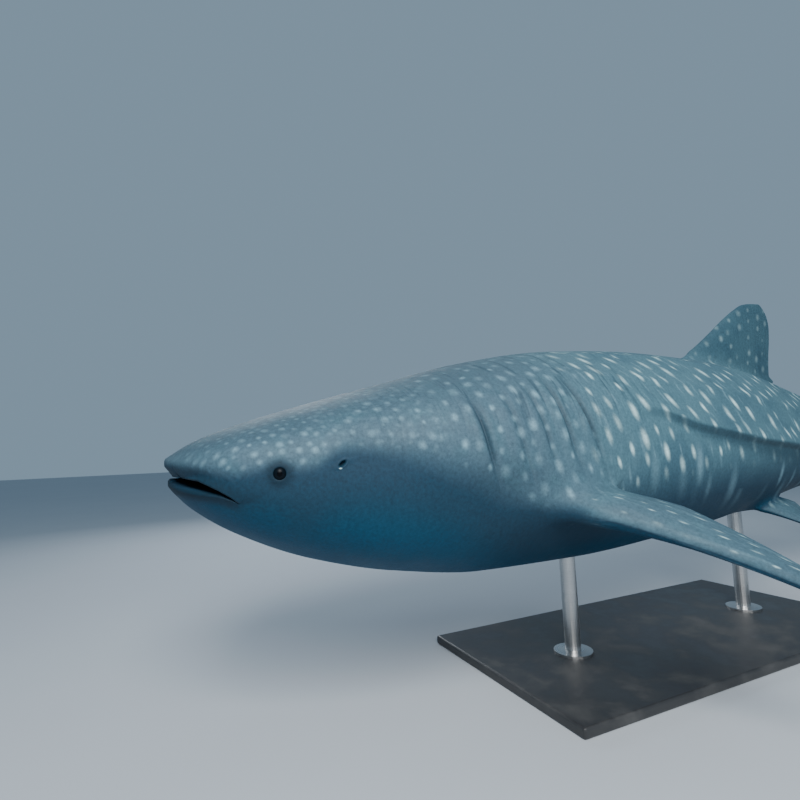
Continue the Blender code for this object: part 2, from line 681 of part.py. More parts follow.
def build_rod(name, body, station, envelope):
    """A round rod with a low foot, from the base up to the belly, cut to the belly's shape."""
    foot = BASE_SIZE[2] + GAP
    top = AXIS_HEIGHT
    profile = ((0.0, top), (ROD_RADIUS, top), (ROD_RADIUS, foot + ROD_FOOT_HEIGHT),
               (ROD_FOOT_RADIUS, foot + ROD_FOOT_HEIGHT * 0.6), (ROD_FOOT_RADIUS, foot), (0.0, foot))
    mesh = bpy.data.meshes.new(name)
    mesh.from_pydata([(r, 0.0, z) for r, z in profile], [(i, i + 1) for i in range(len(profile) - 1)], [])
    rod = bpy.data.objects.new(name, mesh)
    body.objects.link(rod)
    rod.location.x = float(place(station, 0.0, 0.0)[0])
    screw = rod.modifiers.new("turn", "SCREW")
    screw.steps = screw.render_steps = 24
    screw.use_merge_vertices = True
    screw.merge_threshold = 0.0001
    modifier_boolean(rod, envelope, "DIFFERENCE")


def make_material(name):
    """A plain material with the part's colour, roughness and metallic value."""
    colour, roughness, metallic = MATERIALS[name]
    material = bpy.data.materials.new(name)
    material.use_nodes = True
    shader = material.node_tree.nodes["Principled BSDF"]
    shader.inputs["Base Color"].default_value = (*colour, 1.0)
    shader.inputs["Roughness"].default_value = roughness
    shader.inputs["Metallic"].default_value = metallic
    material.diffuse_color = (*colour, 1.0)
    return material


def material_of(node):
    """Which material a node has."""
    if node.startswith("eye"):
        return "eye"
    if node.startswith("stand_rod"):
        return "stand_steel"
    return "stand_paint" if node.startswith("stand") else "skin"


def build():
    """The whole model, in a collection of its own, with the cutters in another."""
    for obj in list(bpy.data.objects):
        bpy.data.objects.remove(obj)
    body = bpy.data.collections.new("whale_shark")
    cutters = bpy.data.collections.new("cutters")
    for collection in (body, cutters):
        bpy.context.scene.collection.children.link(collection)

    whole = body_solid("whole_body", cutters, 0.0, NODE_ENDS["tail"][1])
    envelope = grown_copy(whole, "body_envelope", cutters, GAP * 1.4)
    bpy.data.objects.remove(whole)

    build_head_and_jaw(body, cutters)
    body_solid("trunk", body, *NODE_ENDS["trunk"])
    body_solid("tail", body, *NODE_ENDS["tail"])
    for name, rows in (("dorsal_fin_first", DORSAL_FIRST), ("dorsal_fin_second", DORSAL_SECOND),
                       ("anal_fin", ANAL), ("caudal_fin_upper", CAUDAL_UPPER),
                       ("caudal_fin_lower", CAUDAL_LOWER)):
        upright_fin(name, body, rows, envelope)
    for side, word in ((-1, "left"), (1, "right")):
        paired_fin("pectoral_fin_" + word, body, PECTORAL, side, envelope)
        paired_fin("pelvic_fin_" + word, body, PELVIC, side, envelope)
    build_base(body)
    for name, station in ROD_STATIONS.items():
        build_rod(name, body, station, envelope)

    materials = {name: make_material(name) for name in MATERIALS}
    for obj in body.objects:
        obj.data.materials.clear()
        obj.data.materials.append(materials[material_of(obj.name)])


build()
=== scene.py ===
from math import pi, radians

import bpy
import numpy as np
from mathutils import Matrix, Vector


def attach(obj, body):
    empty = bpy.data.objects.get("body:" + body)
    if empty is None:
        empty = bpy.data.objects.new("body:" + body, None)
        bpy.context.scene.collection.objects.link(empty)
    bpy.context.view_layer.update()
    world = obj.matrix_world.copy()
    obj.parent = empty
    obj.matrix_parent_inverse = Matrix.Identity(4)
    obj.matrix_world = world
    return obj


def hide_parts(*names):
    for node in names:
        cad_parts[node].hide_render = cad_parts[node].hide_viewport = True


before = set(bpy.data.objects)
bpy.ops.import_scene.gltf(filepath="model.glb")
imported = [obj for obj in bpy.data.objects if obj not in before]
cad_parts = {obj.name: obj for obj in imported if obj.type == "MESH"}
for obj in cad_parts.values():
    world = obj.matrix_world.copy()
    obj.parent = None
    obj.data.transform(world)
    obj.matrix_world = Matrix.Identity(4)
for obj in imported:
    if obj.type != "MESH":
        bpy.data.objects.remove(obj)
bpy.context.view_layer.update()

# Stand base: a flat steel-framed board with rounded edges that carries the whole model.
# It is sprayed in satin black; hands and cloths have dulled the paint a little, and dust lies on top.
PAINT_COLOUR = (0.022, 0.023, 0.025, 1.0)
PAINT_DUST = (0.09, 0.09, 0.088, 1.0)


def wire(tree, node, sockets):
    """Gives each named socket of a node its plain value, or a link where it gets a socket."""
    for key, value in sockets.items():
        if isinstance(value, bpy.types.NodeSocket):
            tree.links.new(value, node.inputs[key])
        else:
            node.inputs[key].default_value = value


def put(tree, kind, sockets=None, **settings):
    """Adds a node to a tree, with its settings and sockets."""
    made = tree.nodes.new(kind)
    for name, value in settings.items():
        setattr(made, name, value)
    wire(tree, made, sockets or {})
    return made


def ramp(tree, value, low, high, to_low=0.0, to_high=1.0):
    """A value carried smoothly from one range to another."""
    made = put(tree, "ShaderNodeMapRange", {"Value": value, "From Min": low, "From Max": high,
                                            "To Min": to_low, "To Max": to_high},
               interpolation_type="SMOOTHSTEP")
    return made.outputs["Result"]


def blend_colours(tree, share, first, second):
    """Two colours mixed by a share."""
    return put(tree, "ShaderNodeMix", {0: share, 6: first, 7: second}, data_type="RGBA").outputs[2]


def add_noise(tree, position, scale, detail, roughness=0.5):
    """Noise over a position."""
    made = put(tree, "ShaderNodeTexNoise", {"Vector": position, "Scale": scale, "Detail": detail,
                                            "Roughness": roughness})
    return made.outputs["Fac"]


def add_bump(tree, height, strength, distance, **more):
    """The normal that a height gives a surface, its distance in metres."""
    made = put(tree, "ShaderNodeBump", {"Strength": strength, "Distance": distance, "Height": height, **more})
    return made.outputs["Normal"]


def new_material(name):
    """A material, its node tree, its Principled shader and the position on the object."""
    material = bpy.data.materials.new(name)
    material.use_nodes = True
    tree = material.node_tree
    return material, tree, tree.nodes["Principled BSDF"], put(tree, "ShaderNodeTexCoord").outputs["Object"]


def new_group(name, inputs, outputs):
    """A node group with its sockets, and what comes in through its inputs."""
    group = bpy.data.node_groups.new(name, "ShaderNodeTree")
    for way, sockets in (("INPUT", inputs), ("OUTPUT", outputs)):
        for socket in sockets:
            kind = "NodeSocketVector" if socket == "Position" else "NodeSocketFloat"
            group.interface.new_socket(socket, in_out=way, socket_type=kind)
    return group, group.nodes.new("NodeGroupInput").outputs


def make_uneven_group():
    """Node group: soft clouds and fine specks over a surface, for dulled paint, brushed metal and skin."""
    inputs = ("Position", "Cloud Scale", "Speck Scale")
    group, given = new_group("uneven_finish", inputs, ("Clouds", "Specks"))
    put(group, "NodeGroupOutput",
        {"Clouds": add_noise(group, given["Position"], given["Cloud Scale"], 4.0, 0.6),
         "Specks": add_noise(group, given["Position"], given["Speck Scale"], 2.0, 0.7)})
    return group


uneven = make_uneven_group()


def add_uneven(tree, position, cloud_scale, speck_scale):
    """The two outputs of the uneven finish, placed in a material."""
    made = put(tree, "ShaderNodeGroup", {"Position": position, "Cloud Scale": cloud_scale,
                                         "Speck Scale": speck_scale}, node_tree=uneven)
    return made.outputs["Clouds"], made.outputs["Specks"]


def satin_paint():
    """Black satin paint: cloudy dust on top, roughness that follows it, fine orange-peel bump."""
    material, tree, shader, position = new_material("satin_black_paint")
    clouds, specks = add_uneven(tree, position, 5.0, 260.0)
    dust = ramp(tree, clouds, 0.42, 0.75, 0.0, 0.5)
    wire(tree, shader, {"Base Color": blend_colours(tree, dust, PAINT_COLOUR, PAINT_DUST),
                        "Roughness": ramp(tree, clouds, 0.3, 0.7, 0.34, 0.52),
                        "Normal": add_bump(tree, specks, 0.12, 0.001)})
    return material


def dress(name, material):
    """Gives a solid of the frame its finish."""
    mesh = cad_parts[name].data
    mesh.materials.clear()
    mesh.materials.append(material)


dress("stand_base", satin_paint())

# Stand rods: two round steel rods, each on a low turned foot, bolted up through the base.
# The steel is brushed round the rod; its tops are hidden in the belly.
STEEL_DULL = (0.46, 0.47, 0.48, 1.0)
STEEL_BRIGHT = (0.62, 0.62, 0.61, 1.0)


def brushed_steel():
    """Steel with fine rings of brushing round an upright rod: noise squeezed along the height."""
    material, tree, shader, position = new_material("brushed_steel")
    squeezed = put(tree, "ShaderNodeMapping", {"Vector": position, "Scale": (4.0, 4.0, 900.0)})
    lines = add_noise(tree, squeezed.outputs[0], 1.0, 3.0)
    clouds, specks = add_uneven(tree, position, 9.0, 300.0)
    wire(tree, shader, {"Base Color": blend_colours(tree, clouds, STEEL_DULL, STEEL_BRIGHT), "Metallic": 1.0,
                        "Roughness": ramp(tree, lines, 0.3, 0.7, 0.26, 0.44),
                        "Normal": add_bump(tree, lines, 0.1, 0.0005)})
    return material


steel = brushed_steel()
dress("stand_rod_front", steel)
dress("stand_rod_rear", steel)

# Body skin: one closed skin from the blunt snout to the root of the tail fin, cast and sanded smooth.
# Lips, the pocket of the mouth, lids, spiracles, nostrils, gill slits and ridges are modelled in it.
# Sizes are in hundredths of the total length: s aft of the snout, y to the right, z above the body axis.
HUNDREDTH = 0.075
AXIS_HEIGHT = 1.22
BALANCE_STATION = 39.0
SECTIONS = (
    (0.0, 4.9, 0.48, 0.80), (1.5, 5.9, 1.36, 2.40), (4.0, 6.7, 2.30, 4.05), (8.0, 7.6, 3.50, 5.80),
    (13.0, 8.65, 4.85, 7.10), (19.0, 9.15, 6.45, 7.90), (27.0, 8.7, 7.75, 8.00), (36.0, 8.0, 8.25, 7.50),
    (46.0, 6.8, 8.00, 6.35), (56.0, 5.2, 6.30, 4.50), (66.0, 3.7, 4.20, 2.85), (78.0, 2.0, 2.35, 1.70),
    (81.5, 1.15, 1.50, 1.20), (84.5, 0.3, 0.45, 0.45),
)
AXIS_SLOPE = ((0.0, 0.0), (15.0, 0.0), (45.0, -0.93), (75.0, -5.9), (100.0, -5.9))
ROUNDNESS = ((12.0, 2.4, 2.35), (34.0, 1.85, 2.15))
SNOUT_LENGTH = 5.0
SNOUT_POWER = 2.6
SNOUT_UNDERCUT = ((-1.45, 0.0), (-1.1, 0.08), (-0.95, 0.2), (-0.8, 0.33), (-0.62, 0.5), (-0.545, 0.6),
                  (-0.25, 0.33), (0.1, 0.1), (0.3, 0.1), (0.48, 0.17))
UNDERCUT_END = 3.0
# Ridges of the flank: the crest's (station, angle), its (station, height), and how far it slopes up and
# down from there as (station, degrees, degrees)
LOWER_RIDGE = (((31.0, 20.0), (35.0, 12.5), (44.0, 3.5), (50.0, 0.0)),
               ((26.0, 0.0), (36.0, 0.28), (62.0, 0.36), (75.0, 1.1), (79.0, 0.8), (83.0, 0.0)),
               ((50.0, 12.0, 5.0), (78.0, 7.0, 7.0)))
MIDDLE_RIDGE = (((24.0, 42.0), (56.0, 26.0), (76.0, 22.0)),
                ((20.0, 0.0), (32.0, 0.10), (60.0, 0.12), (72.0, 0.0)), ((0.0, 5.0, 4.0),))
UPPER_RIDGE = (((20.0, 66.0), (62.0, 56.0)),
               ((20.0, 0.0), (30.0, 0.10), (58.0, 0.12), (68.0, 0.0)), ((0.0, 5.0, 4.0),))
# Edges of the lips in side view, (s, z)
UPPER_LIP = ((0.0, -0.55), (0.6, -0.56), (1.4, -0.66), (2.0, -0.91), (2.53, -1.18), (3.05, -1.53),
             (3.45, -1.90))
LOWER_LIP = ((0.0, -0.72), (0.08, -0.80), (0.19, -0.94), (0.75, -1.22), (1.4, -1.38), (2.0, -1.47),
             (2.6, -1.55), (3.2, -1.79), (3.45, -1.94))
MOUTH_CORNER = 3.45
MOUTH_DEPTH = 2.2
LOWER_LIP_ROLL, UPPER_LIP_ROLL = 0.03, 0.08
THROAT_STATION = 6.5
# A band of close columns runs back from the mouth, over the eye and spiracle, to the gills, as
# (s, low z, high z)
FINE_BAND = ((3.45, -1.94, -1.90), (4.0, -1.55, -1.0), (4.6, -1.12, -0.05), (5.2, -1.0, 0.0),
             (6.0, -0.95, 0.1), (8.2, -0.62, 0.32), (11.5, -1.3, 1.6), (15.0, -2.3, 3.1), (24.0, -2.3, 3.5))
BAND_BELOW_CREST, BAND_ABOVE_CREST = 8.0, 12.5
EYE_PLACE = (5.2, -0.5)
EYE_RADIUS = 0.40
SPIRACLE_PLACE = (8.2, -0.15)
SPIRACLE_SIZE = (0.24, 0.12)
SPIRACLE_SLANT = 40.0
SPIRACLE_GLINT = (8.1, -0.38)
NOSTRIL_PLACE = (2.5, -0.40)
NOSTRIL_SIZE = (0.24, 0.10)
NOSTRIL_BACK = 1.2
GILL_TOPS = ((15.65, 3.0), (17.7, 3.7), (19.6, 4.2), (21.4, 4.5), (23.1, 4.6))
GILL_BOTTOMS = ((16.6, -2.0), (18.7, -1.8), (20.5, -1.5), (22.2, -1.2), (24.3, -0.5))
SLIT_LEAN = 0.3
LEAN_ENDS = (12.5, 30.0)
# Section through a gill cover and the groove of its slit: distance aft, height
GILL_PROFILE = ((-0.80, 0.0), (-0.55, 0.03), (-0.35, 0.06), (-0.20, 0.055), (-0.10, 0.01), (0.0, -0.09),
                (0.08, -0.20), (0.15, -0.29), (0.20, -0.30), (0.25, -0.24), (0.31, -0.14), (0.40, -0.05),
                (0.55, -0.01), (0.76, 0.0))
GILL_STRENGTH = (0.9, 0.45, 0.5, 0.7, 0.9)
FOLD_ABOVE, FOLD_BETWEEN = 0.12, 0.07
# Swellings that carry the roots of the paired fins: station, height, reach along, reach up, rise
FIN_SHOULDERS = ((22.0, -2.7, 3.4, 1.7, 0.85), (48.2, -5.1, 2.4, 1.2, 0.35))


def smooth_curve(table, column):
    """A smooth function of the first column of a table: cubic pieces whose slopes never overshoot."""
    x = np.array([row[0] for row in table])
    y = np.array([row[column] for row in table])
    step = np.diff(x)
    rise = np.diff(y) / step
    same_sign = rise[:-1] * rise[1:] > 0
    total = np.where(same_sign, rise[:-1] + rise[1:], 1.0)
    inner = np.where(same_sign, 2 * rise[:-1] * rise[1:] / total, 0.0)
    slope = np.concatenate([rise[:1], inner, rise[-1:]])

    def value(s):
        i = np.clip(np.searchsorted(x, s) - 1, 0, len(step) - 1)
        t = np.clip((s - x[i]) / step[i], 0.0, 1.0)
        return ((1 + 2 * t) * (1 - t) ** 2 * y[i] + t * (1 - t) ** 2 * step[i] * slope[i]
                + t * t * (3 - 2 * t) * y[i + 1] + t * t * (t - 1) * step[i] * slope[i + 1])
    return value


def steps(table, s, column=1):
    """Straight-line value of a table's column at s, held beyond its ends."""
    return np.interp(s, [row[0] for row in table], [row[column] for row in table])


def smoothstep(x, low, high):
    """0 at low, 1 at high, and an S-curve between; low may be the greater of the two."""
    t = np.clip((x - low) / (high - low), 0.0, 1.0)
    return t * t * (3 - 2 * t)


def bell(x, middle, width):
    """1 at the middle, falling off to both sides as e to the minus square of the distance over the width."""
    return np.exp(-((x - middle) / width) ** 2)


half_width, height_above, depth_below = (smooth_curve(SECTIONS, column) for column in (1, 2, 3))
undercut_at = smooth_curve(SNOUT_UNDERCUT, 1)
axis_stations = np.linspace(0.0, 100.0, 401)
axis_slope = np.radians(steps(AXIS_SLOPE, axis_stations))
axis_aft = np.cumsum(np.cos(axis_slope)) * 0.25 - 0.25
axis_up = np.cumsum(np.sin(axis_slope)) * 0.25


def place(s, y, z):
    """World points: along the drooping body axis by s, across by y, and up at a right angle to it by z."""
    aft, up, slope = (np.interp(s, axis_stations, table) for table in (axis_aft, axis_up, axis_slope))
    x = (aft - np.sin(slope) * z - BALANCE_STATION) * HUNDREDTH
    height = (up + np.cos(slope) * z) * HUNDREDTH + AXIS_HEIGHT
    return np.stack(np.broadcast_arrays(x, np.asarray(y) * HUNDREDTH, height), axis=-1)


def snout_taper(s):
    """Share of the half width at s: a superellipse in plan over the snout, then 1."""
    t = np.clip(s / SNOUT_LENGTH, 0.0, 1.0)
    return (1 - (1 - t) ** SNOUT_POWER) ** (1 / SNOUT_POWER)


def undercut(s, z):
    """How far aft the front of the snout lies at height z, fading out over the first stations."""
    return undercut_at(z) * np.clip(1 - s / UNDERCUT_END, 0.0, 1.0)


def section_power(s, upper):
    """Power of the section's superellipse, upper or lower half."""
    return np.where(upper, steps(ROUNDNESS, s, 1), steps(ROUNDNESS, s, 2))


def section_point(s, angle):
    """Across and up at station s: a superellipse with its own half width, height above and depth below."""
    power = section_power(s, angle >= 0)
    y = -half_width(s) * snout_taper(s) * np.cos(angle).clip(0.0, 1.0) ** (2 / power)
    reach = np.where(angle >= 0, height_above(s), depth_below(s))
    z = reach * np.sign(angle) * np.abs(np.sin(angle)) ** (2 / power)
    return y, z


def angle_at(s, z):
    """The section's angle where its surface is at height z: the inverse of section_point's z."""
    reach = np.where(z >= 0, height_above(s), depth_below(s))
    power = section_power(s, z >= 0)
    return np.sign(z) * np.arcsin(np.clip(np.abs(z) / reach, 0.0, 0.999) ** (power / 2))


def surface_point(s, z):
    """World point on the left flank at station s and height z."""
    y, z = section_point(s, angle_at(s, z))
    return place(s + undercut(s, z), y, z)


def outward_normals(grid):
    """Unit normals of a grid: the cross product of its two ways, in the middle plane at the ends."""
    normal = np.cross(np.gradient(grid, axis=0), np.gradient(grid, axis=1))
    normal[:, (0, -1), 1] = 0.0
    return normal / np.linalg.norm(normal, axis=-1, keepdims=True).clip(1e-12)


def spread(*pieces):
    """Numbers that run through several spans: (end, count) after a start."""
    values = [np.array([pieces[0]])]
    for end, count in pieces[1:]:
        values.append(np.linspace(values[-1][-1], end, count + 1)[1:])
    return np.concatenate(values)


# Rings: even steps round the snout's curve, close ones at nostrils, eye, spiracle and each gill slit
snout_turn = np.radians(spread(0.0, (19.0, 14), (30.0, 18), (74.0, 30)))
snout_rings = SNOUT_LENGTH * (1 - np.cos(snout_turn) ** (2 / SNOUT_POWER))
gill_middles = [(a[0] + b[0]) / 2 for a, b in zip(GILL_TOPS, GILL_BOTTOMS)]
gill_rings = np.concatenate([middle + np.array([row[0] for row in GILL_PROFILE]) for middle in gill_middles])
between_gills = np.concatenate([np.linspace(a + 0.82, b - 0.86, 2)
                                for a, b in zip(gill_middles, gill_middles[1:])])
rings = np.concatenate([
    snout_rings, spread(3.25, (3.9, 12), (4.65, 6), (5.75, 32), (7.9, 9), (8.5, 14), (15.2, 21)),
    gill_rings, between_gills, spread(24.55, (42.0, 32), (60.0, 34), (84.5, 38))])
rings = np.sort(rings)[:, None]

# Columns: belly, edge of the fine band, its other edge, feet and crests of the upper ridges, back
crest_low, crest_middle, crest_upper = (steps(ridge[0], rings)
                                        for ridge in (LOWER_RIDGE, MIDDLE_RIDGE, UPPER_RIDGE))
lip_low, lip_high = steps(LOWER_LIP, rings), steps(UPPER_LIP, rings)
in_mouth = rings <= MOUTH_CORNER
band_low = np.degrees(angle_at(rings, np.where(in_mouth, lip_low, steps(FINE_BAND, rings, 1))))
band_high = np.degrees(angle_at(rings, np.where(in_mouth, lip_high, steps(FINE_BAND, rings, 2))))
to_ridge = smoothstep(rings, 24.0, 31.0)
band_low = band_low * (1 - to_ridge) + (crest_low - BAND_BELOW_CREST) * to_ridge
band_high = band_high * (1 - to_ridge) + (crest_low + BAND_ABOVE_CREST) * to_ridge
BELLY_COLUMNS, BAND_COLUMNS, BELLY_CROWDING = 30, 34, 1.7
UPPER_COLUMNS = ((12, 1.5), (6,), (6,), (6,), (10,))
HALF_RIDGE = 5.0


def fill(start, end, count, power=1.0):
    """Angles from start to end, at shares that crowd towards the start if the power is above 1."""
    return start + (end - start) * (np.arange(1, count + 1) / count) ** power


to_belly = (1 - np.arange(BELLY_COLUMNS + 1) / BELLY_COLUMNS) ** BELLY_CROWDING
edges = [band_high, crest_middle - HALF_RIDGE, crest_middle + HALF_RIDGE, crest_upper - HALF_RIDGE,
         crest_upper + HALF_RIDGE, 90.0]
angles = np.concatenate([
    band_low + (-90.0 - band_low) * to_belly, fill(band_low, band_high, BAND_COLUMNS),
    *(fill(start, end, *count) for start, end, count in zip(edges, edges[1:], UPPER_COLUMNS))], axis=1)
angle = np.radians(angles)
first_band, last_band = BELLY_COLUMNS, BELLY_COLUMNS + BAND_COLUMNS

# Gill covers: rings lean along the slits, and the profile of a cover and its slit is carried along each.
# Each slit runs on upwards as a soft fold, and a lesser fold lies between each two slits.


def slit_station(top, bottom, z):
    """Station of a gill slit at height z: aft towards its foot by a power of the way, aft above its top."""
    down = np.clip((top[1] - z) / (top[1] - bottom[1]), 0.0, 1.0)
    return top[0] + (bottom[0] - top[0]) * down ** 1.3 + SLIT_LEAN * np.clip(z - top[1], 0.0, 3.0)


def slit_open(top, bottom, z):
    """Share that a slit gapes at height z: the root of a half sine wave, weaker towards its foot."""
    down = (top[1] - z) / (top[1] - bottom[1])
    inside = (down > -0.03) & (down < 1.03)
    wave = np.sin(pi * np.clip(down * 0.94 + 0.03, 0.0, 1.0)).clip(0.0) ** 0.6
    return np.where(inside, wave * (1 - 0.5 * smoothstep(down, 0.5, 0.85)), 0.0)


across, up = section_point(rings, angle)
lean_stations = [LEAN_ENDS[0], *gill_middles, LEAN_ENDS[1]]
leans = [np.zeros_like(up), *(slit_station(top, bottom, up) - middle for top, bottom, middle
                              in zip(GILL_TOPS, GILL_BOTTOMS, gill_middles)), np.zeros_like(up)]
slant = np.zeros_like(up)
for a, b, lean_a, lean_b in zip(lean_stations, lean_stations[1:], leans, leans[1:]):
    share = np.clip((rings - a) / (b - a), 0.0, 1.0)
    slant = np.where((rings >= a) & (rings < b), lean_a * (1 - share) + lean_b * share, slant)
gill_height = np.zeros_like(up)
fold_reach = smoothstep(up, -2.0, 0.5) * smoothstep(up, 7.2, 4.8)
for top, bottom, middle, strength in zip(GILL_TOPS, GILL_BOTTOMS, gill_middles, GILL_STRENGTH):
    offset = rings - middle
    open_share = slit_open(top, bottom, up)
    gill_height += np.where(np.abs(offset) < 0.81, steps(GILL_PROFILE, offset) * open_share * strength, 0.0)
    gill_height -= FOLD_ABOVE * fold_reach * bell(offset, 0.15, 0.3) * (1 - open_share)
for a, b in zip(gill_middles, gill_middles[1:]):
    gill_height -= FOLD_BETWEEN * fold_reach * bell(rings, (a + b) / 2, 0.28)

station = rings + slant
across, up = section_point(station, angle)
skin = place(station + undercut(station, up), across, up)
normal = outward_normals(skin)

# Ridges: rounded crests pushed out of the section, growing into the keel before the tail fin.
# On each side of its crest a ridge falls off as half a cosine wave.
rise = np.zeros_like(up)
for crest, rising, slopes in (LOWER_RIDGE, MIDDLE_RIDGE, UPPER_RIDGE):
    off_crest = angles - steps(crest, rings)
    reach = np.where(off_crest > 0, steps(slopes, rings, 1), steps(slopes, rings, 2))
    rise += steps(rising, rings) * (0.5 + 0.5 * np.cos(pi * np.clip(np.abs(off_crest) / reach, 0.0, 1.0)))
skin[..., 1] -= rise * np.cos(angle) * HUNDREDTH
skin[..., 2] += rise * np.sin(angle) * HUNDREDTH

# Lips and the pocket of the mouth: the skin rolls over each lip and goes in towards the throat
lip_share = smoothstep(rings, 3.9, 2.7)
below_lip = (lip_low - up).clip(0.0)
above_lip = (up - lip_high).clip(0.0)
columns = np.arange(angles.shape[1])[None, :]
q = np.clip((columns - first_band) / BAND_COLUMNS, 0.0, 1.0)
pocket = (q > 0) & (q < 1) & in_mouth
lower_roll = np.where(columns <= first_band, (1 - (below_lip / 0.5).clip(0, 1) ** 2) ** 2,
                      smoothstep(q, 0.2, 0.0))
upper_roll = np.where(columns >= last_band, (1 - (above_lip / 0.34).clip(0, 1) ** 2) ** 2,
                      smoothstep(q, 0.86, 1.0))
height = gill_height + lip_share * (LOWER_LIP_ROLL * lower_roll + UPPER_LIP_ROLL * upper_roll)
opening = (lip_high - lip_low).clip(0.0)
q_marks = (0.0, 0.06, 0.14, 0.24, 0.42, 0.5, 0.58, 0.8, 0.9, 0.95, 1.0)
depth_share = np.interp(q, q_marks, (0.0, 0.01, 0.07, 0.25, 0.92, 1.0, 0.92, 0.2, 0.05, 0.01, 0.0))
roll_share = np.interp(q, q_marks, (0.0, 0.22, 0.32, 0.26, 0.3, 0.5, 0.75, 0.84, 0.86, 0.91, 1.0))
mouth_depth = MOUTH_DEPTH * np.clip(1 - (rings / MOUTH_CORNER) ** 3, 0.0, 1.0)
lip_turn = np.where(q < 0.5, angle[:, first_band:first_band + 1], angle[:, last_band:last_band + 1])
lip_y = section_point(rings, lip_turn)[0]
pocket_z = lip_low + opening * roll_share
to_throat = np.stack(np.broadcast_arrays(THROAT_STATION - rings, -lip_y), axis=-1)
to_throat /= np.linalg.norm(to_throat, axis=-1, keepdims=True)
go_in = mouth_depth * depth_share
pocket_points = place(rings + undercut(rings, pocket_z) + to_throat[..., 0] * go_in,
                      np.minimum(lip_y + to_throat[..., 1] * go_in, 0.0), pocket_z)
skin = np.where(pocket[..., None], pocket_points, skin)

# Eye: a rim of lid and a hollow under the eyeball; spiracle: a slanted slot; nostril: a small pit
eye_middle = surface_point(*EYE_PLACE)
eye_d = np.linalg.norm(skin - eye_middle, axis=-1) / HUNDREDTH
height += 0.02 * bell(eye_d, EYE_RADIUS, 0.12)
height -= 0.34 * smoothstep(eye_d, 0.33, 0.2)
spiracle_s, spiracle_z = station - SPIRACLE_PLACE[0], up - SPIRACLE_PLACE[1]
turn = radians(SPIRACLE_SLANT)
long_way = (spiracle_s * np.cos(turn) + spiracle_z * np.sin(turn)) / SPIRACLE_SIZE[0]
short_way = (spiracle_z * np.cos(turn) - spiracle_s * np.sin(turn)) / SPIRACLE_SIZE[1]
slot_d = np.hypot(long_way, short_way)
height += 0.03 * bell(slot_d, 1.35, 0.3) - 0.3 * smoothstep(slot_d, 1.05, 0.35)
nostril_d = np.hypot((across + NOSTRIL_PLACE[0]) / NOSTRIL_SIZE[0], (up - NOSTRIL_PLACE[1]) / NOSTRIL_SIZE[1])
height -= np.where(rings < NOSTRIL_BACK, 0.2 * smoothstep(nostril_d, 1.0, 0.3), 0.0)

# Shoulders: the flank swells softly round the roots of the paired fins
for s_middle, z_middle, reach_along, reach_up, swell in FIN_SHOULDERS:
    height += swell * bell(station, s_middle, reach_along) * bell(up, z_middle, reach_up)

skin += normal * (height * HUNDREDTH)[..., None]
skin[:, (0, -1), 1] = 0.0
skin[0, :, 1] = 0.0


def add_mesh(name, vertices, quads, triangles):
    """A mesh object of quads and triangles, turned over as a whole if its volume comes out negative."""
    corners = np.concatenate([triangles, quads[:, (0, 1, 2)], quads[:, (0, 2, 3)]])
    a, b, c = (vertices[corners[:, k]] for k in range(3))
    if np.einsum("ij,ij->i", a, np.cross(b, c)).sum() < 0:
        quads, triangles = quads[:, ::-1], triangles[:, ::-1]
    mesh = bpy.data.meshes.new(name)
    mesh.from_pydata(vertices.tolist(), [], quads.tolist() + triangles.tolist())
    obj = bpy.data.objects.new(name, mesh)
    bpy.context.scene.collection.objects.link(obj)
    return obj


def fan(ring, centre):
    """Triangles from a closed ring of vertex numbers to one centre vertex."""
    return np.stack([ring, np.roll(ring, -1), np.full_like(ring, centre)], axis=1)


def ring_quads(number):
    """Quads between the rows of a table of vertex numbers, each row a closed ring."""
    ahead = np.roll(number, -1, axis=1)
    return np.stack([number[:-1], ahead[:-1], ahead[1:], number[1:]], axis=-1).reshape(-1, 4)


def body_mesh(left):
    """The left half's grid and its mirror image, zipped up the front of the snout and closed at the tail."""
    right = left[:, -2:0:-1] * (1.0, -1.0, 1.0)
    grid = np.concatenate([left, right], axis=1)
    rows, count = grid.shape[:2]
    number = np.arange(rows * count).reshape(rows, count)
    half = left.shape[1] - 1
    number[0, half + 1:] = number[0, half - 1:0:-1]
    quads = ring_quads(number)
    vertices = np.concatenate([grid.reshape(-1, 3), grid[-1].mean(axis=0, keepdims=True)])
    triangles = fan(number[-1], len(vertices) - 1)
    used = np.append(np.unique(quads), len(vertices) - 1)
    renumber = np.zeros(len(vertices), dtype=int)
    renumber[used] = np.arange(len(used))
    return add_mesh("skin", vertices[used], renumber[quads], renumber[triangles])


body = body_mesh(skin)

# Fins: each is laid up on its own core, rounded at the front edge and drawn out thin at the back.
# Upright fins stand in the middle plane; their rows run from the root outwards: front, back, thickness.
DORSAL_FIRST = (
    ((46.0, 3.5), (56.8, 3.5), 1.7), ((44.8, 6.0), (57.2, 5.4), 1.7), ((43.6, 8.05), (58.0, 6.3), 1.6),
    ((45.1, 8.75), (58.3, 6.8), 1.4), ((46.6, 9.6), (57.6, 7.5), 1.3), ((48.9, 11.2), (57.8, 9.5), 1.1),
    ((50.9, 12.7), (58.1, 11.3), 0.9), ((52.7, 13.9), (58.2, 12.7), 0.7), ((54.0, 14.6), (57.95, 13.8), 0.5),
    ((55.4, 14.9), (57.4, 14.6), 0.35), ((56.4, 15.0), (57.0, 14.95), 0.25),
)
DORSAL_SECOND = (
    ((67.8, 1.6), (71.0, 1.4), 0.8), ((67.1, 3.3), (71.3, 2.7), 0.8), ((67.3, 4.1), (72.2, 3.4), 0.75),
    ((68.4, 5.1), (71.9, 4.1), 0.6), ((69.7, 6.1), (72.1, 5.3), 0.45), ((70.8, 6.8), (72.3, 6.3), 0.3),
    ((71.5, 7.0), (72.2, 6.9), 0.2),
)
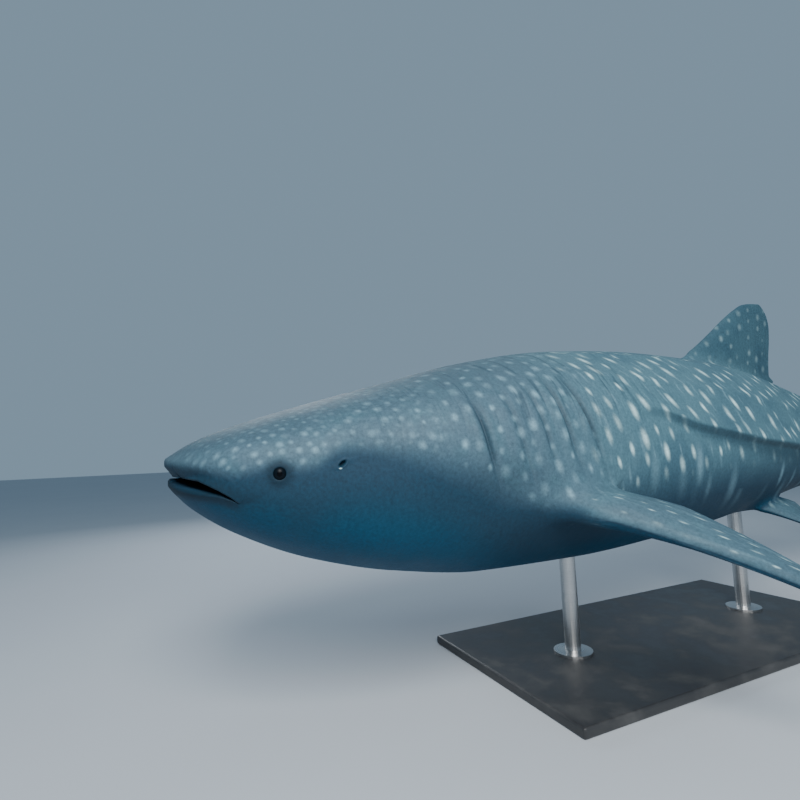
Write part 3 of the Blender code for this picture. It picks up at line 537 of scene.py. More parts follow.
ANAL = (
    ((69.2, -1.0), (72.2, -0.9), 0.8), ((68.7, -2.2), (72.6, -1.8), 0.8), ((68.9, -2.8), (73.4, -2.3), 0.7),
    ((70.0, -3.8), (73.2, -3.1), 0.55), ((71.2, -4.8), (73.4, -4.2), 0.4), ((72.3, -5.5), (73.6, -5.1), 0.3),
    ((73.0, -5.7), (73.6, -5.6), 0.2),
)
CAUDAL_UPPER = (
    ((78.5, 0.15), (84.3, 0.15), 1.3), ((76.9, 1.7), (85.9, 1.8), 1.3), ((78.2, 3.3), (87.4, 3.8), 1.1),
    ((81.0, 6.0), (89.3, 6.3), 0.9), ((84.8, 9.2), (91.2, 9.0), 0.75), ((88.8, 12.3), (93.0, 11.6), 0.6),
    ((92.6, 15.0), (95.0, 14.2), 0.45), ((95.6, 17.0), (96.6, 16.5), 0.3), ((97.0, 17.9), (97.4, 17.7), 0.2),
)
CAUDAL_LOWER = (
    ((78.8, 0.3), (84.3, 0.3), 1.2), ((77.8, -1.2), (84.9, -1.2), 1.2), ((79.3, -3.2), (85.6, -3.2), 0.95),
    ((81.4, -5.9), (86.2, -5.9), 0.7), ((83.4, -8.6), (86.6, -8.6), 0.5), ((85.2, -10.7), (87.0, -10.7), 0.3),
    ((86.2, -11.6), (86.9, -11.5), 0.2),
)
PECTORAL = {"root": (19.7, -8.23, -3.11), "root_chord": 4.6, "span": 12.7, "tip_aft": 12.3,
            "lobe": (3.6, 7.9), "droop": 14.0, "curl": 3.35, "incidence": (12.0, 6.0),
            "thickness": (2.3, 1.0, 0.3), "sunk": 4.0, "flare": (1.6, 0.3, 0.3)}
PELVIC = {"root": (46.4, -3.7, -5.2), "root_chord": 3.6, "span": 4.6, "tip_aft": 4.9,
          "lobe": (1.2, 5.0), "droop": 28.0, "curl": 0.4, "incidence": (12.0, 6.0),
          "thickness": (0.9, 0.5, 0.2), "sunk": 2.0, "flare": (0.4, 0.2, 0.5)}
FLARE_REACH = 1.1
SIDES = (("left", -1), ("right", 1))
EDGE_THICKNESS = 0.03
CHORD_POINTS = 22
# A wing section's half thickness: powers of the way along its chord, and their factors
WING_CURVE = ((0.5, 0.2969), (1, -0.126), (2, -0.3516), (3, 0.2843), (4, -0.1036))


def closed_tube(name, grid, ends):
    """A mesh of closed rings, shut at each end by a fan to a vertex of its own."""
    rows, count = grid.shape[:2]
    number = np.arange(rows * count).reshape(rows, count)
    vertices = np.concatenate([grid.reshape(-1, 3), ends])
    triangles = np.concatenate([fan(number[0][::-1], rows * count), fan(number[-1], rows * count + 1)])
    return add_mesh(name, vertices, ring_quads(number), triangles)


def fin_surface(name, front, back, thickness, across):
    """A closed fin: along each chord a wing section, by the powers and factors of its curve."""
    turn = np.linspace(0, 2 * pi, 2 * CHORD_POINTS, endpoint=False)
    along = (1 - np.cos(turn)) / 2
    share = 10 * sum(factor * along ** power for power, factor in WING_CURVE)
    half = np.maximum(thickness[:, None] / 2 * share, EDGE_THICKNESS * np.minimum(1.0, along * 40))
    half = half * np.sqrt(np.clip((1 - along) / 0.006, 0.0, 1.0)) * np.where(turn < pi, 1.0, -1.0)
    grid = (front[:, None] + (back - front)[:, None] * along[None, :, None]
            + across[:, None] * (half * HUNDREDTH)[..., None])
    return closed_tube(name, grid, np.stack([grid[0].mean(axis=0), grid[-1].mean(axis=0)]))


def upright_fin(name, rows, count):
    """A fin in the middle plane: smooth curves through its rows' fronts, backs and thicknesses."""
    table = [(i, *front, *back, thickness) for i, (front, back, thickness) in enumerate(rows)]
    t = np.linspace(0, len(rows) - 1, count)
    s_front, z_front, s_back, z_back, thickness = (smooth_curve(table, k)(t) for k in range(1, 6))
    across = np.tile((0.0, 1.0, 0.0), (count, 1))
    return fin_surface(name, place(s_front, 0.0, z_front), place(s_back, 0.0, z_back), thickness, across)


def paired_point(fin, outward, aft, side):
    """A point of a paired fin: out along its drooping span, aft along a chord that is tilted up."""
    share = (outward / fin["span"]).clip(0.0)
    lead = fin["tip_aft"] * outward / fin["span"]
    tilt = np.radians(fin["incidence"][0] + (fin["incidence"][1] - fin["incidence"][0]) * share)
    droop = radians(fin["droop"])
    s0, y0, z0 = fin["root"]
    s = s0 + lead + (aft - lead) * np.cos(tilt)
    y = y0 - outward * np.cos(droop)
    z = z0 - outward * np.sin(droop) - fin["curl"] * share ** 2 + (aft - lead) * np.sin(tilt)
    return place(s, -side * y, z)


def paired_fin(name, fin, side):
    """A pectoral or pelvic fin: swept front edge, a free lobe behind its root, a pointed tip.

    Towards the body it grows longer and thicker by a falling exponential, so that it flows out of the flank.
    """
    lobe_out, lobe_aft = fin["lobe"]
    span = fin["span"]
    outward = spread(-fin["sunk"], (0.0, 5), (lobe_out, 16), (span * 0.93, 28), (span * 0.995, 8))
    shown = outward.clip(0.0)
    lead = fin["tip_aft"] * shown / span
    inner = fin["root_chord"] + (lobe_aft - fin["root_chord"]) * (outward / lobe_out).clip(0.0)
    reach = ((outward - lobe_out) / (span - lobe_out)).clip(0.0)
    trail = np.where(outward <= lobe_out, inner, lobe_aft + (fin["tip_aft"] - lobe_aft) * reach)
    flare_front, flare_back, flare_thick = (value * np.exp(-shown / FLARE_REACH) for value in fin["flare"])
    thickness = np.interp(shown / span, (0.0, 0.45, 1.0), fin["thickness"]) + flare_thick
    front = paired_point(fin, outward, lead - flare_front, side)
    back = paired_point(fin, outward, trail + flare_back, side)
    further = paired_point(fin, outward + 0.5, lead + 0.5 * fin["tip_aft"] / span, side)
    across = np.cross(back - front, further - front)
    across /= np.linalg.norm(across, axis=1, keepdims=True)
    return fin_surface(name, front, back, thickness, across)


upright = [upright_fin(*fin) for fin in (
    ("fin_dorsal_first", DORSAL_FIRST, 48), ("fin_dorsal_second", DORSAL_SECOND, 26), ("fin_anal", ANAL, 26),
    ("fin_caudal_upper", CAUDAL_UPPER, 52), ("fin_caudal_lower", CAUDAL_LOWER, 40))]
paired = [paired_fin(f"fin_{name}_{way}", fin, side)
          for name, fin in (("pectoral", PECTORAL), ("pelvic", PELVIC)) for way, side in SIDES]

# Barbels: a short soft feeler hangs in front of each nostril, cast in one with the snout.
BARBEL_LENGTH = 0.22
BARBEL_RADIUS = 0.06
BARBEL_WAY, BARBEL_OVER = (-0.93, 0.0, -0.36), (-0.36, 0.0, 0.93)


def barbel(side):
    """A tapered round bar with a rounded end, from inside the snout forwards and down."""
    share = NOSTRIL_PLACE[0] / half_width(0.0)
    s = SNOUT_LENGTH * (1 - (1 - share ** SNOUT_POWER) ** (1 / SNOUT_POWER))
    root = surface_point(s, NOSTRIL_PLACE[1] - 0.12) * (1.0, -side, 1.0)
    t = spread(-0.8, (0.7, 8), (1.0, 5))
    radius = BARBEL_RADIUS * (1.1 - 0.5 * t.clip(0.0)) * np.sqrt(np.clip((1.001 - t) / 0.3, 0.0, 1.0))
    turn = np.linspace(0, 2 * pi, 12, endpoint=False)
    spoke = np.cos(turn)[:, None] * np.array((0.0, 1.0, 0.0)) + np.sin(turn)[:, None] * np.array(BARBEL_OVER)
    middles = root + np.array(BARBEL_WAY) * (t * BARBEL_LENGTH * HUNDREDTH)[:, None]
    grid = middles[:, None] + spoke[None] * (radius * HUNDREDTH)[:, None, None]
    return closed_tube("barbel", grid, np.stack([grid[0].mean(axis=0), grid[-1].mean(axis=0)]))


barbels = [barbel(side) for _, side in SIDES]

# Joining: body, fins and barbels become one skin, and the roots are filleted by sanding round the joints.
# Each part keeps its number in this order, so that the paint knows whether it is on the body or on a fin.
parts = [body, *upright, *paired, *barbels]
FIRST_PAIRED, FIRST_PELVIC, FIRST_BARBEL = 6, 8, 10
FILLET_SPREAD = 9
FILLET_ROUNDS = 26


def set_faces(mesh, name, value):
    """Gives all faces of a mesh one value of a property."""
    mesh.polygons.foreach_set(name, np.full(len(mesh.polygons), value))


for number, part in enumerate(parts):
    for _ in parts:
        part.data.materials.append(None)
    set_faces(part.data, "material_index", number)
for part in parts[1:]:
    union = body.modifiers.new(part.name, "BOOLEAN")
    union.operation = "UNION"
    union.solver = "MANIFOLD"
    union.object = part
evaluated = body.evaluated_get(bpy.context.evaluated_depsgraph_get())
joined = bpy.data.meshes.new_from_object(evaluated)
body.modifiers.clear()
body.data = joined
for part in parts[1:]:
    bpy.data.objects.remove(part)


def read(collection, name, width=1, kind=np.int32):
    """One property of all vertices, edges, corners or faces of a mesh."""
    values = np.zeros(len(collection) * width, dtype=kind)
    collection.foreach_get(name, values)
    return values.reshape(-1, width) if width > 1 else values


def neighbour_mean(values, edges):
    """Mean of each vertex's neighbours."""
    total = np.zeros_like(values)
    count = np.bincount(edges.ravel(), minlength=len(values)).clip(1)
    np.add.at(total, edges[:, 0], values[edges[:, 1]])
    np.add.at(total, edges[:, 1], values[edges[:, 0]])
    return total / count.reshape((-1,) + (1,) * (values.ndim - 1))


points = read(joined.vertices, "co", 3, np.float64)
edges = read(joined.edges, "vertices", 2)
corner_vertex = read(joined.loops, "vertex_index")
corner_part = np.repeat(read(joined.polygons, "material_index"), read(joined.polygons, "loop_total"))
lowest = np.full(len(points), len(parts))
highest = np.full(len(points), -1)
np.minimum.at(lowest, corner_vertex, corner_part)
np.maximum.at(highest, corner_vertex, corner_part)
near_joint = (lowest != highest).astype(float)
for _ in range(FILLET_SPREAD):
    near_joint = np.maximum(near_joint, neighbour_mean(near_joint, edges) * 1.6).clip(0.0, 1.0)
near_joint[highest >= FIRST_BARBEL] = 0.0
for _ in range(FILLET_ROUNDS):
    points += (neighbour_mean(points, edges) - points) * (near_joint * 0.5)[:, None]
joined.vertices.foreach_set("co", points.ravel())
joined.update()

# Where every point of the skin lies, worked back from its place: station, distance round from the back's
# middle line, and how deep it is under the plain section, which finds the mouth and the pits; their depth is
# painted darker as painted shade. Less than nothing there marks a painted highlight, the pale glint under the
# spiracle.
TAIL_END = 84.5
TABLE_ROWS, TABLE_COLUMNS = 169, 180


def section_table():
    """Distance round each section from the back down to every angle, on a grid of stations and angles."""
    s = np.linspace(0.0, TAIL_END, TABLE_ROWS + 1)[:, None]
    a = np.radians(np.linspace(90.0, -90.0, TABLE_COLUMNS + 1))[None, :]
    y, z = section_point(s, a)
    length = np.cumsum(np.hypot(np.diff(y, axis=1), np.diff(z, axis=1)), axis=1)
    return np.pad(length, ((0, 0), (1, 0)))


def body_coordinates(points):
    """Station, height, section angle, share of the section's reach and distance out of it, for each point.

    This is the inverse of place and section_point.
    """
    aft = points[:, 0] / HUNDREDTH + BALANCE_STATION
    level = (points[:, 2] - AXIS_HEIGHT) / HUNDREDTH
    across = np.abs(points[:, 1]) / HUNDREDTH
    s = aft
    for _ in range(4):
        up, slope = (np.interp(s, axis_stations, table) for table in (axis_up, axis_slope))
        z = (level - up) / np.cos(slope)
        s = np.interp(aft + np.sin(slope) * z, axis_aft, axis_stations)
    shift = undercut_at(z)
    s = np.where(s < UNDERCUT_END, (s - shift) / (1 - shift / UNDERCUT_END), s).clip(0.001)
    power = section_power(s, z >= 0)
    reach = np.where(z >= 0, height_above(s), depth_below(s))
    side = (across / (half_width(s) * snout_taper(s))) ** (power / 2)
    lift = (np.abs(z) / reach) ** (power / 2)
    inner_share = np.hypot(side, lift) ** (2 / power)
    outside = np.hypot(across, z) * (1 - 1 / inner_share.clip(0.01))
    return s, z, np.sign(z) * np.arctan2(lift, side), inner_share, outside


def distance_round(s, angle):
    """Distance round the section from the back's middle line, read from the table in both directions."""
    i = np.clip(s / TAIL_END * TABLE_ROWS, 0, TABLE_ROWS - 0.001)
    j = np.clip(90.0 - np.degrees(angle), 0, TABLE_COLUMNS - 0.001)
    i0, j0 = i.astype(int), j.astype(int)
    u, v = i - i0, j - j0
    table = section_table()
    return ((table[i0, j0] * (1 - u) + table[i0 + 1, j0] * u) * (1 - v)
            + (table[i0, j0 + 1] * (1 - u) + table[i0 + 1, j0 + 1] * u) * v)


s, z, turn, inner_share, outside = body_coordinates(points)
from_back = distance_round(s, turn)[corner_vertex]
on_upright = (corner_part > 0) & (corner_part < FIRST_PAIRED)
on_paired = (corner_part >= FIRST_PAIRED) & (corner_part < FIRST_BARBEL)
s_c, z_c, outside_c = s[corner_vertex], z[corner_vertex], outside[corner_vertex]
out_c = np.abs(points[corner_vertex, 1]) / HUNDREDTH
# Painted shade in the mouth and the spiracle: the deeper a point lies, the darker it is painted.
at_mouth = (s_c < 4.5) & (z_c < UPPER_LIP[0][1] + 0.02)
in_hollow = (corner_part == 0) & (at_mouth | (np.abs(s_c - SPIRACLE_PLACE[0]) < 0.5))
depth = np.where(in_hollow, (1 - inner_share[corner_vertex]).clip(0.0), 0.0)
# Painted highlight: a pale glint under the spiracle, stored as less than nothing.
glint = 0.7 * bell(s, SPIRACLE_GLINT[0], 0.13) * bell(z, SPIRACLE_GLINT[1], 0.06)
lie = np.stack([s_c, from_back, depth - glint[corner_vertex]], axis=1)

# On the fins: distance across, distance out, and how far the fin's own tone has taken over from the body's
on_pelvic = on_paired & (corner_part >= FIRST_PELVIC)
fin_share = np.where(on_upright, smoothstep(outside_c, 0.1, 1.6), 0.0)
fin_share = np.where(on_paired, smoothstep(outside_c, 0.9, 3.0), fin_share)
fin_share = np.where(on_pelvic, smoothstep(outside_c, 0.1, 1.2), fin_share)
fin_lie = np.stack([np.where(on_paired, s_c - out_c, s_c), np.where(on_paired, out_c, np.abs(z_c)),
                    fin_share], axis=1)

# Tones: the lower side in painted shade, blue as under water, where the body's spots lie, and painted shade
# in hollows, on the lips and in other shaded places. The grey of the upper side ends along an edge, given as
# station and height, that dips before the eye, with the painted shade below it; the other table says over how
# much height it fades.
GREY_EDGE = ((0.0, 0.25), (0.6, 0.05), (1.25, -0.08), (1.9, -0.22), (2.35, -0.34), (3.05, -0.38),
             (3.65, -0.33), (4.4, -0.16), (5.2, -0.02), (6.1, -0.25), (6.9, -0.15), (7.3, 0.11), (7.8, 0.50),
             (8.3, 0.68), (9.6, 0.68), (11.1, 0.42), (12.6, 0.02), (14.0, -0.5), (15.5, -1.2), (16.7, -1.85),
             (18.0, -2.45), (19.5, -3.0), (24.0, -3.2), (30.0, -2.3), (40.0, -1.7), (50.0, -1.6),
             (60.0, -1.3), (84.0, -0.7))
EDGE_FADE = ((0.0, 0.30), (9.0, 0.55), (12.0, 1.1), (14.0, 1.5), (17.0, 1.3), (19.0, 0.6), (23.0, 0.5),
             (26.0, 1.5), (30.0, 2.2))
facing_up = read(joined.vertices, "normal", 3, np.float32)[corner_vertex, 2]
grey_edge, edge_fade = steps(GREY_EDGE, s_c), steps(EDGE_FADE, s_c)
# Painted shade: under the grey edge the lower side darkens to blue, and to a deeper blue further down.
body_shaded_below = smoothstep(z_c, grey_edge + edge_fade, grey_edge - edge_fade)
blue_from, blue_to = np.interp(s_c, (2.0, 8.0), (0.5, 1.2)), np.interp(s_c, (2.0, 8.0), (1.8, 6.0))
body_shaded_below *= 0.5 + 0.5 * smoothstep(grey_edge - z_c, blue_from, blue_to)
# Painted shade on the fins: the paired fins darken where their faces turn down, and the upright fins a little
# all over.
fin_underside_shade = np.where(on_paired, 0.8 - 0.8 * smoothstep(facing_up, -0.55, -0.15), 0.2)
shaded_below = body_shaded_below * (1 - fin_share) + fin_underside_shade * fin_share
left_points = points * np.where(points[:, 1:2] > 0, (1.0, -1.0, 1.0), (1.0, 1.0, 1.0))
eye_gap = np.linalg.norm(left_points - eye_middle, axis=1) / HUNDREDTH
spiracle_gap = np.hypot(s - SPIRACLE_PLACE[0], z - SPIRACLE_PLACE[1])
clear = smoothstep(np.minimum(eye_gap, spiracle_gap), 0.5, 1.1)
body_spotted = smoothstep(z_c, grey_edge - 0.15, grey_edge + 0.6 * edge_fade + 0.15) * clear[corner_vertex]
body_spotted *= 1 - 0.45 * smoothstep(from_back, 8.0, 1.5)
spotted = body_spotted * (1 - fin_share) + np.where(on_upright, 0.45, 1.0) * fin_share
spotted *= 1 - 0.7 * fin_underside_shade * fin_share
spotted *= np.where(on_paired, 1 - fin_share * smoothstep(facing_up, 0.65, 0.3), 1.0)
# Painted shade in the gill slits' grooves, with a softer band of it round each.
groove_shade = np.zeros_like(s)
for top, bottom, strength in zip(GILL_TOPS, GILL_BOTTOMS, GILL_STRENGTH):
    off_slit = s - slit_station(top, bottom, z) - 0.18
    opened = slit_open(top, bottom, z)
    groove_shade += strength * (opened * bell(off_slit, 0.0, 0.17) + 0.35 * bell(off_slit, 0.0, 0.4))
groove_shade *= smoothstep(z, -2.4, -1.0) * smoothstep(z, 6.6, 4.6) * (inner_share < 1.1)
under_lip = steps(LOWER_LIP, s) - z
lip_shade = smoothstep(under_lip, 0.6, 0.05) * smoothstep(steps(UPPER_LIP, s) - z, -0.03, 0.05)
lip_shade *= smoothstep(s, 3.9, 2.9)
above_lip = z - steps(UPPER_LIP, s)
upper_lip_shade = (smoothstep(above_lip, -0.05, 0.05) * smoothstep(above_lip, 0.75, 0.1)
                   * smoothstep(s, 0.7, 1.6) * smoothstep(s, 5.0, 3.4) * (inner_share > 0.97))
crest_height = section_point(s, np.radians(steps(LOWER_RIDGE[0], s)))[1]
under_crest = crest_height - z
shade_depth = 0.9 + 0.09 * (s - 31.0).clip(0.0)
ridge_shade = (smoothstep(s, 28.0, 33.0) * smoothstep(s, 76.0, 60.0) * smoothstep(under_crest, -0.15, 0.15)
               * smoothstep(under_crest, shade_depth, 0.3 * shade_depth))
# Painted shade in the nostril pits.
nostril_across = (np.abs(points[:, 1]) / HUNDREDTH - NOSTRIL_PLACE[0]) / NOSTRIL_SIZE[0]
nostril_gap = np.hypot(nostril_across, (z - NOSTRIL_PLACE[1]) / NOSTRIL_SIZE[1])
crown_shade = smoothstep(facing_up, 0.45, 0.9) * smoothstep(s_c, 34.0, 14.0) * (1 - fin_share)
gill_foot_shade = bell(s_c, 17.5, 3.5) * bell(z_c, -1.4, 1.3) * (1 - fin_share)
# Painted shade, mixed in as its own coat: round the eye's socket, in the gill grooves, on the lips, in the
# nostrils, under the lower ridge, on the top of the head and back, at the gills' foot and a little over the
# fins.
shade_amount = np.maximum.reduce([
    (0.95 * smoothstep(eye_gap, 0.95, 0.38))[corner_vertex],
    (0.65 * groove_shade.clip(0.0, 1.0))[corner_vertex],
    np.maximum(0.95 * lip_shade, 0.6 * upper_lip_shade)[corner_vertex],
    (0.9 * smoothstep(nostril_gap, 1.1, 0.5) * (s < NOSTRIL_BACK))[corner_vertex],
    (0.6 * ridge_shade * (inner_share < 1.2))[corner_vertex],
    0.26 * crown_shade, 0.5 * gill_foot_shade, np.where(on_upright, 0.08, 0.17) * fin_share])
spotted *= 1 - 0.8 * ridge_shade[corner_vertex] * (1 - fin_share)
marks_and_shade = np.stack([shaded_below, spotted, shade_amount], axis=1)

# Where other patterns lie: head, creased upper side of head and gills, faint bars under the lower ridge.
# The paired fins share most of the head's greyer tone.
on_head = smoothstep(s, 14.5, 12.5)
creased = (smoothstep(s, 5.0, 9.0) * (1 - 0.8 * smoothstep(s, 26.0, 34.0))
           * (0.2 + 0.8 * smoothstep(z, 0.5, 4.0)))
barred = (smoothstep(s, 25.0, 30.0) * smoothstep(s, 76.0, 66.0) * smoothstep(under_crest, 6.5, 3.0)
          * smoothstep(under_crest, 0.8, 2.2))
zones = np.stack([on_head, creased, barred], axis=1)[corner_vertex] * (1 - fin_share[:, None])
zones[:, 0] += np.where(on_paired, 0.8 * fin_share, 0.0)
for name, values in (("lie", lie), ("fin_lie", fin_lie), ("marks_and_shade", marks_and_shade), ("zones", zones)):
    layer = joined.attributes.new(name, "FLOAT_VECTOR", "CORNER")
    layer.data.foreach_set("vector", values.astype(np.float32).ravel())
set_faces(joined, "material_index", 0)
set_faces(joined, "use_smooth", True)
joined.materials.clear()

# Paint of the skin: slate grey above and deep blue below, the blue a painted shade as under water, sprayed
# and sealed matt.
# Rows of pale spots are small, soft and close on the head, larger, upright and brighter along the trunk.
SLATE = (0.060, 0.136, 0.170, 1.0)
SLATE_DARK = (0.038, 0.096, 0.130, 1.0)
HEAD_GREY = (0.054, 0.100, 0.134, 1.0)
# Painted shade, blue as under water: the first just under the grey edge, the second further down.
SHADE_BLUE = (0.009, 0.034, 0.060, 1.0)
DEEP_SHADE_BLUE = (0.004, 0.052, 0.100, 1.0)
SPOT_BRIGHT = (0.56, 0.80, 0.82, 1.0)
SPOT_SOFT = (0.23, 0.40, 0.48, 1.0)
# Painted shade: the dark of hollows, creases and shaded places, and the deeper dark inside the mouth and
# spiracle.
PAINTED_SHADE = (0.004, 0.019, 0.034, 1.0)
MOUTH_SHADE = (0.006, 0.026, 0.050, 1.0)
# What makes a kind of spot, in hundredths and shares, then the kinds: two of the head, gills, trunk, streaks
# between the trunk's spots, bars under the lower ridge; and those of the paired and of the upright fins
SPOT_VALUES = ("Pitch Along", "Pitch Around", "Half Width", "Half Height", "Lean", "Softness",
               "Share Left Out")
BODY_SPOTS = ((0.6, 0.62, 0.17, 0.19, 0.35, 1.0, 0.03), (0.86, 0.9, 0.21, 0.25, 0.3, 1.0, 0.03),
              (1.15, 1.2, 0.29, 0.38, 0.12, 1.0, 0.05), (1.65, 1.75, 0.3, 0.6, 0.24, 1.0, 0.06),
              (0.95, 2.3, 0.17, 0.8, 0.24, 1.0, 0.35), (1.6, 5.2, 0.55, 2.0, 0.1, 1.0, 0.2))
FIN_SPOTS = ((0.85, 1.15, 0.11, 0.2, 0.0, 0.95, 0.18), (1.5, 1.5, 0.3, 0.36, 0.2, 1.0, 0.1))


def calc(tree, operation, *values, clamp=False):
    """The result of a Math node on plain numbers or sockets."""
    made = put(tree, "ShaderNodeMath", dict(enumerate(values)), operation=operation, use_clamp=clamp)
    return made.outputs[0]


def product(tree, first, *others):
    """Several masks multiplied together."""
    for other in others:
        first = calc(tree, "MULTIPLY", first, other)
    return first


def greatest(tree, first, *others):
    """The greatest of several masks."""
    for other in others:
        first = calc(tree, "MAXIMUM", first, other)
    return first


def make_spots_group():
    """Node group: a soft oval in each cell of a leaning grid, moved, sized, dimmed or left out at random."""
    group, given = new_group("rows_of_spots", ("Along", "Around", "Side", *SPOT_VALUES), ("Spots",))
    leaned = calc(group, "SUBTRACT", given["Along"], product(group, given["Lean"], given["Around"]))
    column = calc(group, "DIVIDE", leaned, given["Pitch Along"])
    column_number = calc(group, "FLOOR", column)
    stagger = product(group, column_number, 0.5)
    row = calc(group, "ADD", calc(group, "DIVIDE", given["Around"], given["Pitch Around"]), stagger)
    row_number = calc(group, "FLOOR", row)
    cell = put(group, "ShaderNodeCombineXYZ", {0: column_number, 1: row_number, 2: given["Side"]})
    dice = put(group, "ShaderNodeTexWhiteNoise", {"Vector": cell.outputs[0]}).outputs
    throws = put(group, "ShaderNodeSeparateColor", {"Color": dice["Color"]}).outputs
    size = calc(group, "MULTIPLY_ADD", throws[2], 0.6, 0.6)
    squares = []
    for within, throw, play, pitch, half in ((column, throws[0], 0.44, "Pitch Along", "Half Width"),
                                             (row, throws[1], 0.40, "Pitch Around", "Half Height")):
        middle = calc(group, "MULTIPLY_ADD", throw, play, (1 - play) / 2)
        off = product(group, calc(group, "SUBTRACT", calc(group, "FRACT", within), middle), given[pitch])
        share = calc(group, "DIVIDE", off, product(group, given[half], size))
        squares.append(product(group, share, share))
    away = calc(group, "SQRT", calc(group, "ADD", *squares))
    spot = ramp(group, away, calc(group, "SUBTRACT", 1.0, given["Softness"]), 1.3, 1.0, 0.0)
    second_throw = calc(group, "FRACT", product(group, dice["Value"], 17.3))
    kept = calc(group, "GREATER_THAN", second_throw, given["Share Left Out"])
    dim = calc(group, "MULTIPLY_ADD", dice["Value"], 0.65, 0.35)
    put(group, "NodeGroupOutput", {"Spots": product(group, spot, kept, dim)})
    return group


spots_group = make_spots_group()


def add_spots(tree, along, around, side, kinds):
    """Several kinds of spots laid over the same two distances."""
    where = {"Along": along, "Around": around, "Side": side}
    return [put(tree, "ShaderNodeGroup", {**where, **dict(zip(SPOT_VALUES, kind))},
                node_tree=spots_group).outputs["Spots"] for kind in kinds]


def vector_parts(tree, name):
    """The three numbers that an attribute stores at each point."""
    stored = put(tree, "ShaderNodeAttribute", attribute_name=name).outputs["Vector"]
    return put(tree, "ShaderNodeSeparateXYZ", {0: stored}).outputs


def lines_noise(tree, detail, *stretched):
    """Noise over three numbers, each already drawn out or pressed together."""
    position = put(tree, "ShaderNodeCombineXYZ", dict(enumerate(stretched))).outputs[0]
    return add_noise(tree, position, 1.0, detail)


def painted_skin():
    """The skin's paint, from the stored place on the body, with denticle grain and creases as bump."""
    material, tree, shader, position = new_material("painted_skin")
    along, around, deep = vector_parts(tree, "lie")
    fin_across, fin_out, fin_share = vector_parts(tree, "fin_lie")
    shaded_below_share, spot_share, painted_shade_share = vector_parts(tree, "marks_and_shade")
    head_share, creased_share, barred_share = vector_parts(tree, "zones")
    left_right = put(tree, "ShaderNodeSeparateXYZ", {0: position}).outputs[1]
    side = product(tree, calc(tree, "GREATER_THAN", left_right, 0.0), 37.0)
    clouds, specks = add_uneven(tree, position, 3.2, 420.0)
    mottle, freckles = add_uneven(tree, position, 11.0, 75.0)
    off_middle = ramp(tree, around, 0.15, 0.5)

    # Where each kind of spot lies: bright ones on trunk and fins, soft ones on head and gills and between
    close, wider, gills, trunk, streaks, bars = add_spots(tree, along, around, side, BODY_SPOTS)
    on_paired_fins, on_upright_fins = add_spots(tree, fin_across, fin_out, side, FIN_SPOTS)
    trunk_share = ramp(tree, along, 22.5, 26.5)
    off_head, off_trunk, off_fins = (calc(tree, "SUBTRACT", 1.0, share)
                                     for share in (head_share, trunk_share, fin_share))
    paired_share = product(tree, fin_share, ramp(tree, head_share, 0.05, 0.3))
    upright_share = product(tree, fin_share, ramp(tree, head_share, 0.05, 0.3, 1.0, 0.0))
    head = greatest(tree, product(tree, close, ramp(tree, along, 6.5, 8.5, 1.0, 0.35)),
                    product(tree, wider, ramp(tree, along, 6.5, 8.5)))
    head = product(tree, calc(tree, "POWER", head, 0.85), head_share, ramp(tree, along, 0.8, 4.0, 0.25, 0.46))
    bright = greatest(tree, product(tree, trunk, trunk_share, off_fins, off_middle),
                      product(tree, on_paired_fins, paired_share, 0.75),
                      product(tree, on_upright_fins, upright_share, 0.65))
    bright = product(tree, bright, spot_share, 0.85)
    soft = greatest(tree, head, product(tree, gills, off_head, off_trunk, 0.62),
                    product(tree, streaks, trunk_share, 0.3))
    soft = product(tree, soft, spot_share, off_fins, off_middle)

    # Creases run round the body, darkened as painted shade, and fine lines out along the fins, where a
    # drawn-out noise is low or high
    folds = lines_noise(tree, 2.0, product(tree, along, 2.5), product(tree, around, 0.2), left_right)
    crease_shade = product(tree, ramp(tree, folds, 0.32, 0.46, 1.0, 0.0), creased_share, 0.5)
    fin_lines = lines_noise(tree, 3.0, product(tree, fin_across, 3.0), product(tree, fin_out, 0.35),
                            left_right)
    streaked = product(tree, ramp(tree, fin_lines, 0.5, 0.72), paired_share, 0.16)

    # Coats of paint, each laid over the last by its share, the lower side, hollows, creases and mouth in
    # painted shade; the painted highlight under the spiracle comes last
    grey_share = greatest(tree, head_share, product(tree, off_fins, ramp(tree, along, 17.0, 30.0, 1.0, 0.2)))
    colour = SLATE
    for share, coat in (
            (ramp(tree, clouds, 0.38, 0.72), SLATE_DARK),
            (product(tree, grey_share, ramp(tree, mottle, 0.15, 0.6, 0.4, 1.0)), HEAD_GREY),
            (calc(tree, "MULTIPLY", shaded_below_share, 2.0, clamp=True), SHADE_BLUE),
            (ramp(tree, shaded_below_share, 0.5, 1.0), DEEP_SHADE_BLUE),
            (greatest(tree, soft, product(tree, bars, barred_share, 0.4), streaked), SPOT_SOFT),
            (bright, SPOT_BRIGHT),
            (greatest(tree, painted_shade_share, crease_shade), PAINTED_SHADE),
            (ramp(tree, deep, 0.015, 0.07), MOUTH_SHADE),
            (ramp(tree, deep, -0.8, -0.3, 0.8, 0.0), SPOT_BRIGHT)):
        colour = blend_colours(tree, share, colour, coat)
    grain = calc(tree, "MULTIPLY_ADD", freckles, 0.9, 0.55)
    grained = put(tree, "ShaderNodeHueSaturation", {"Value": grain, "Color": colour})
    line_height = calc(tree, "ADD", product(tree, folds, creased_share, off_fins),
                       product(tree, fin_lines, fin_share, 0.5))
    fine = add_bump(tree, specks, 0.35, 0.002)
    wire(tree, shader, {"Base Color": grained.outputs["Color"], "Specular IOR Level": 0.2,
                        "Roughness": ramp(tree, clouds, 0.3, 0.7, 0.56, 0.68),
                        "Normal": add_bump(tree, line_height, 0.5, 0.02, Normal=fine)})
    return material


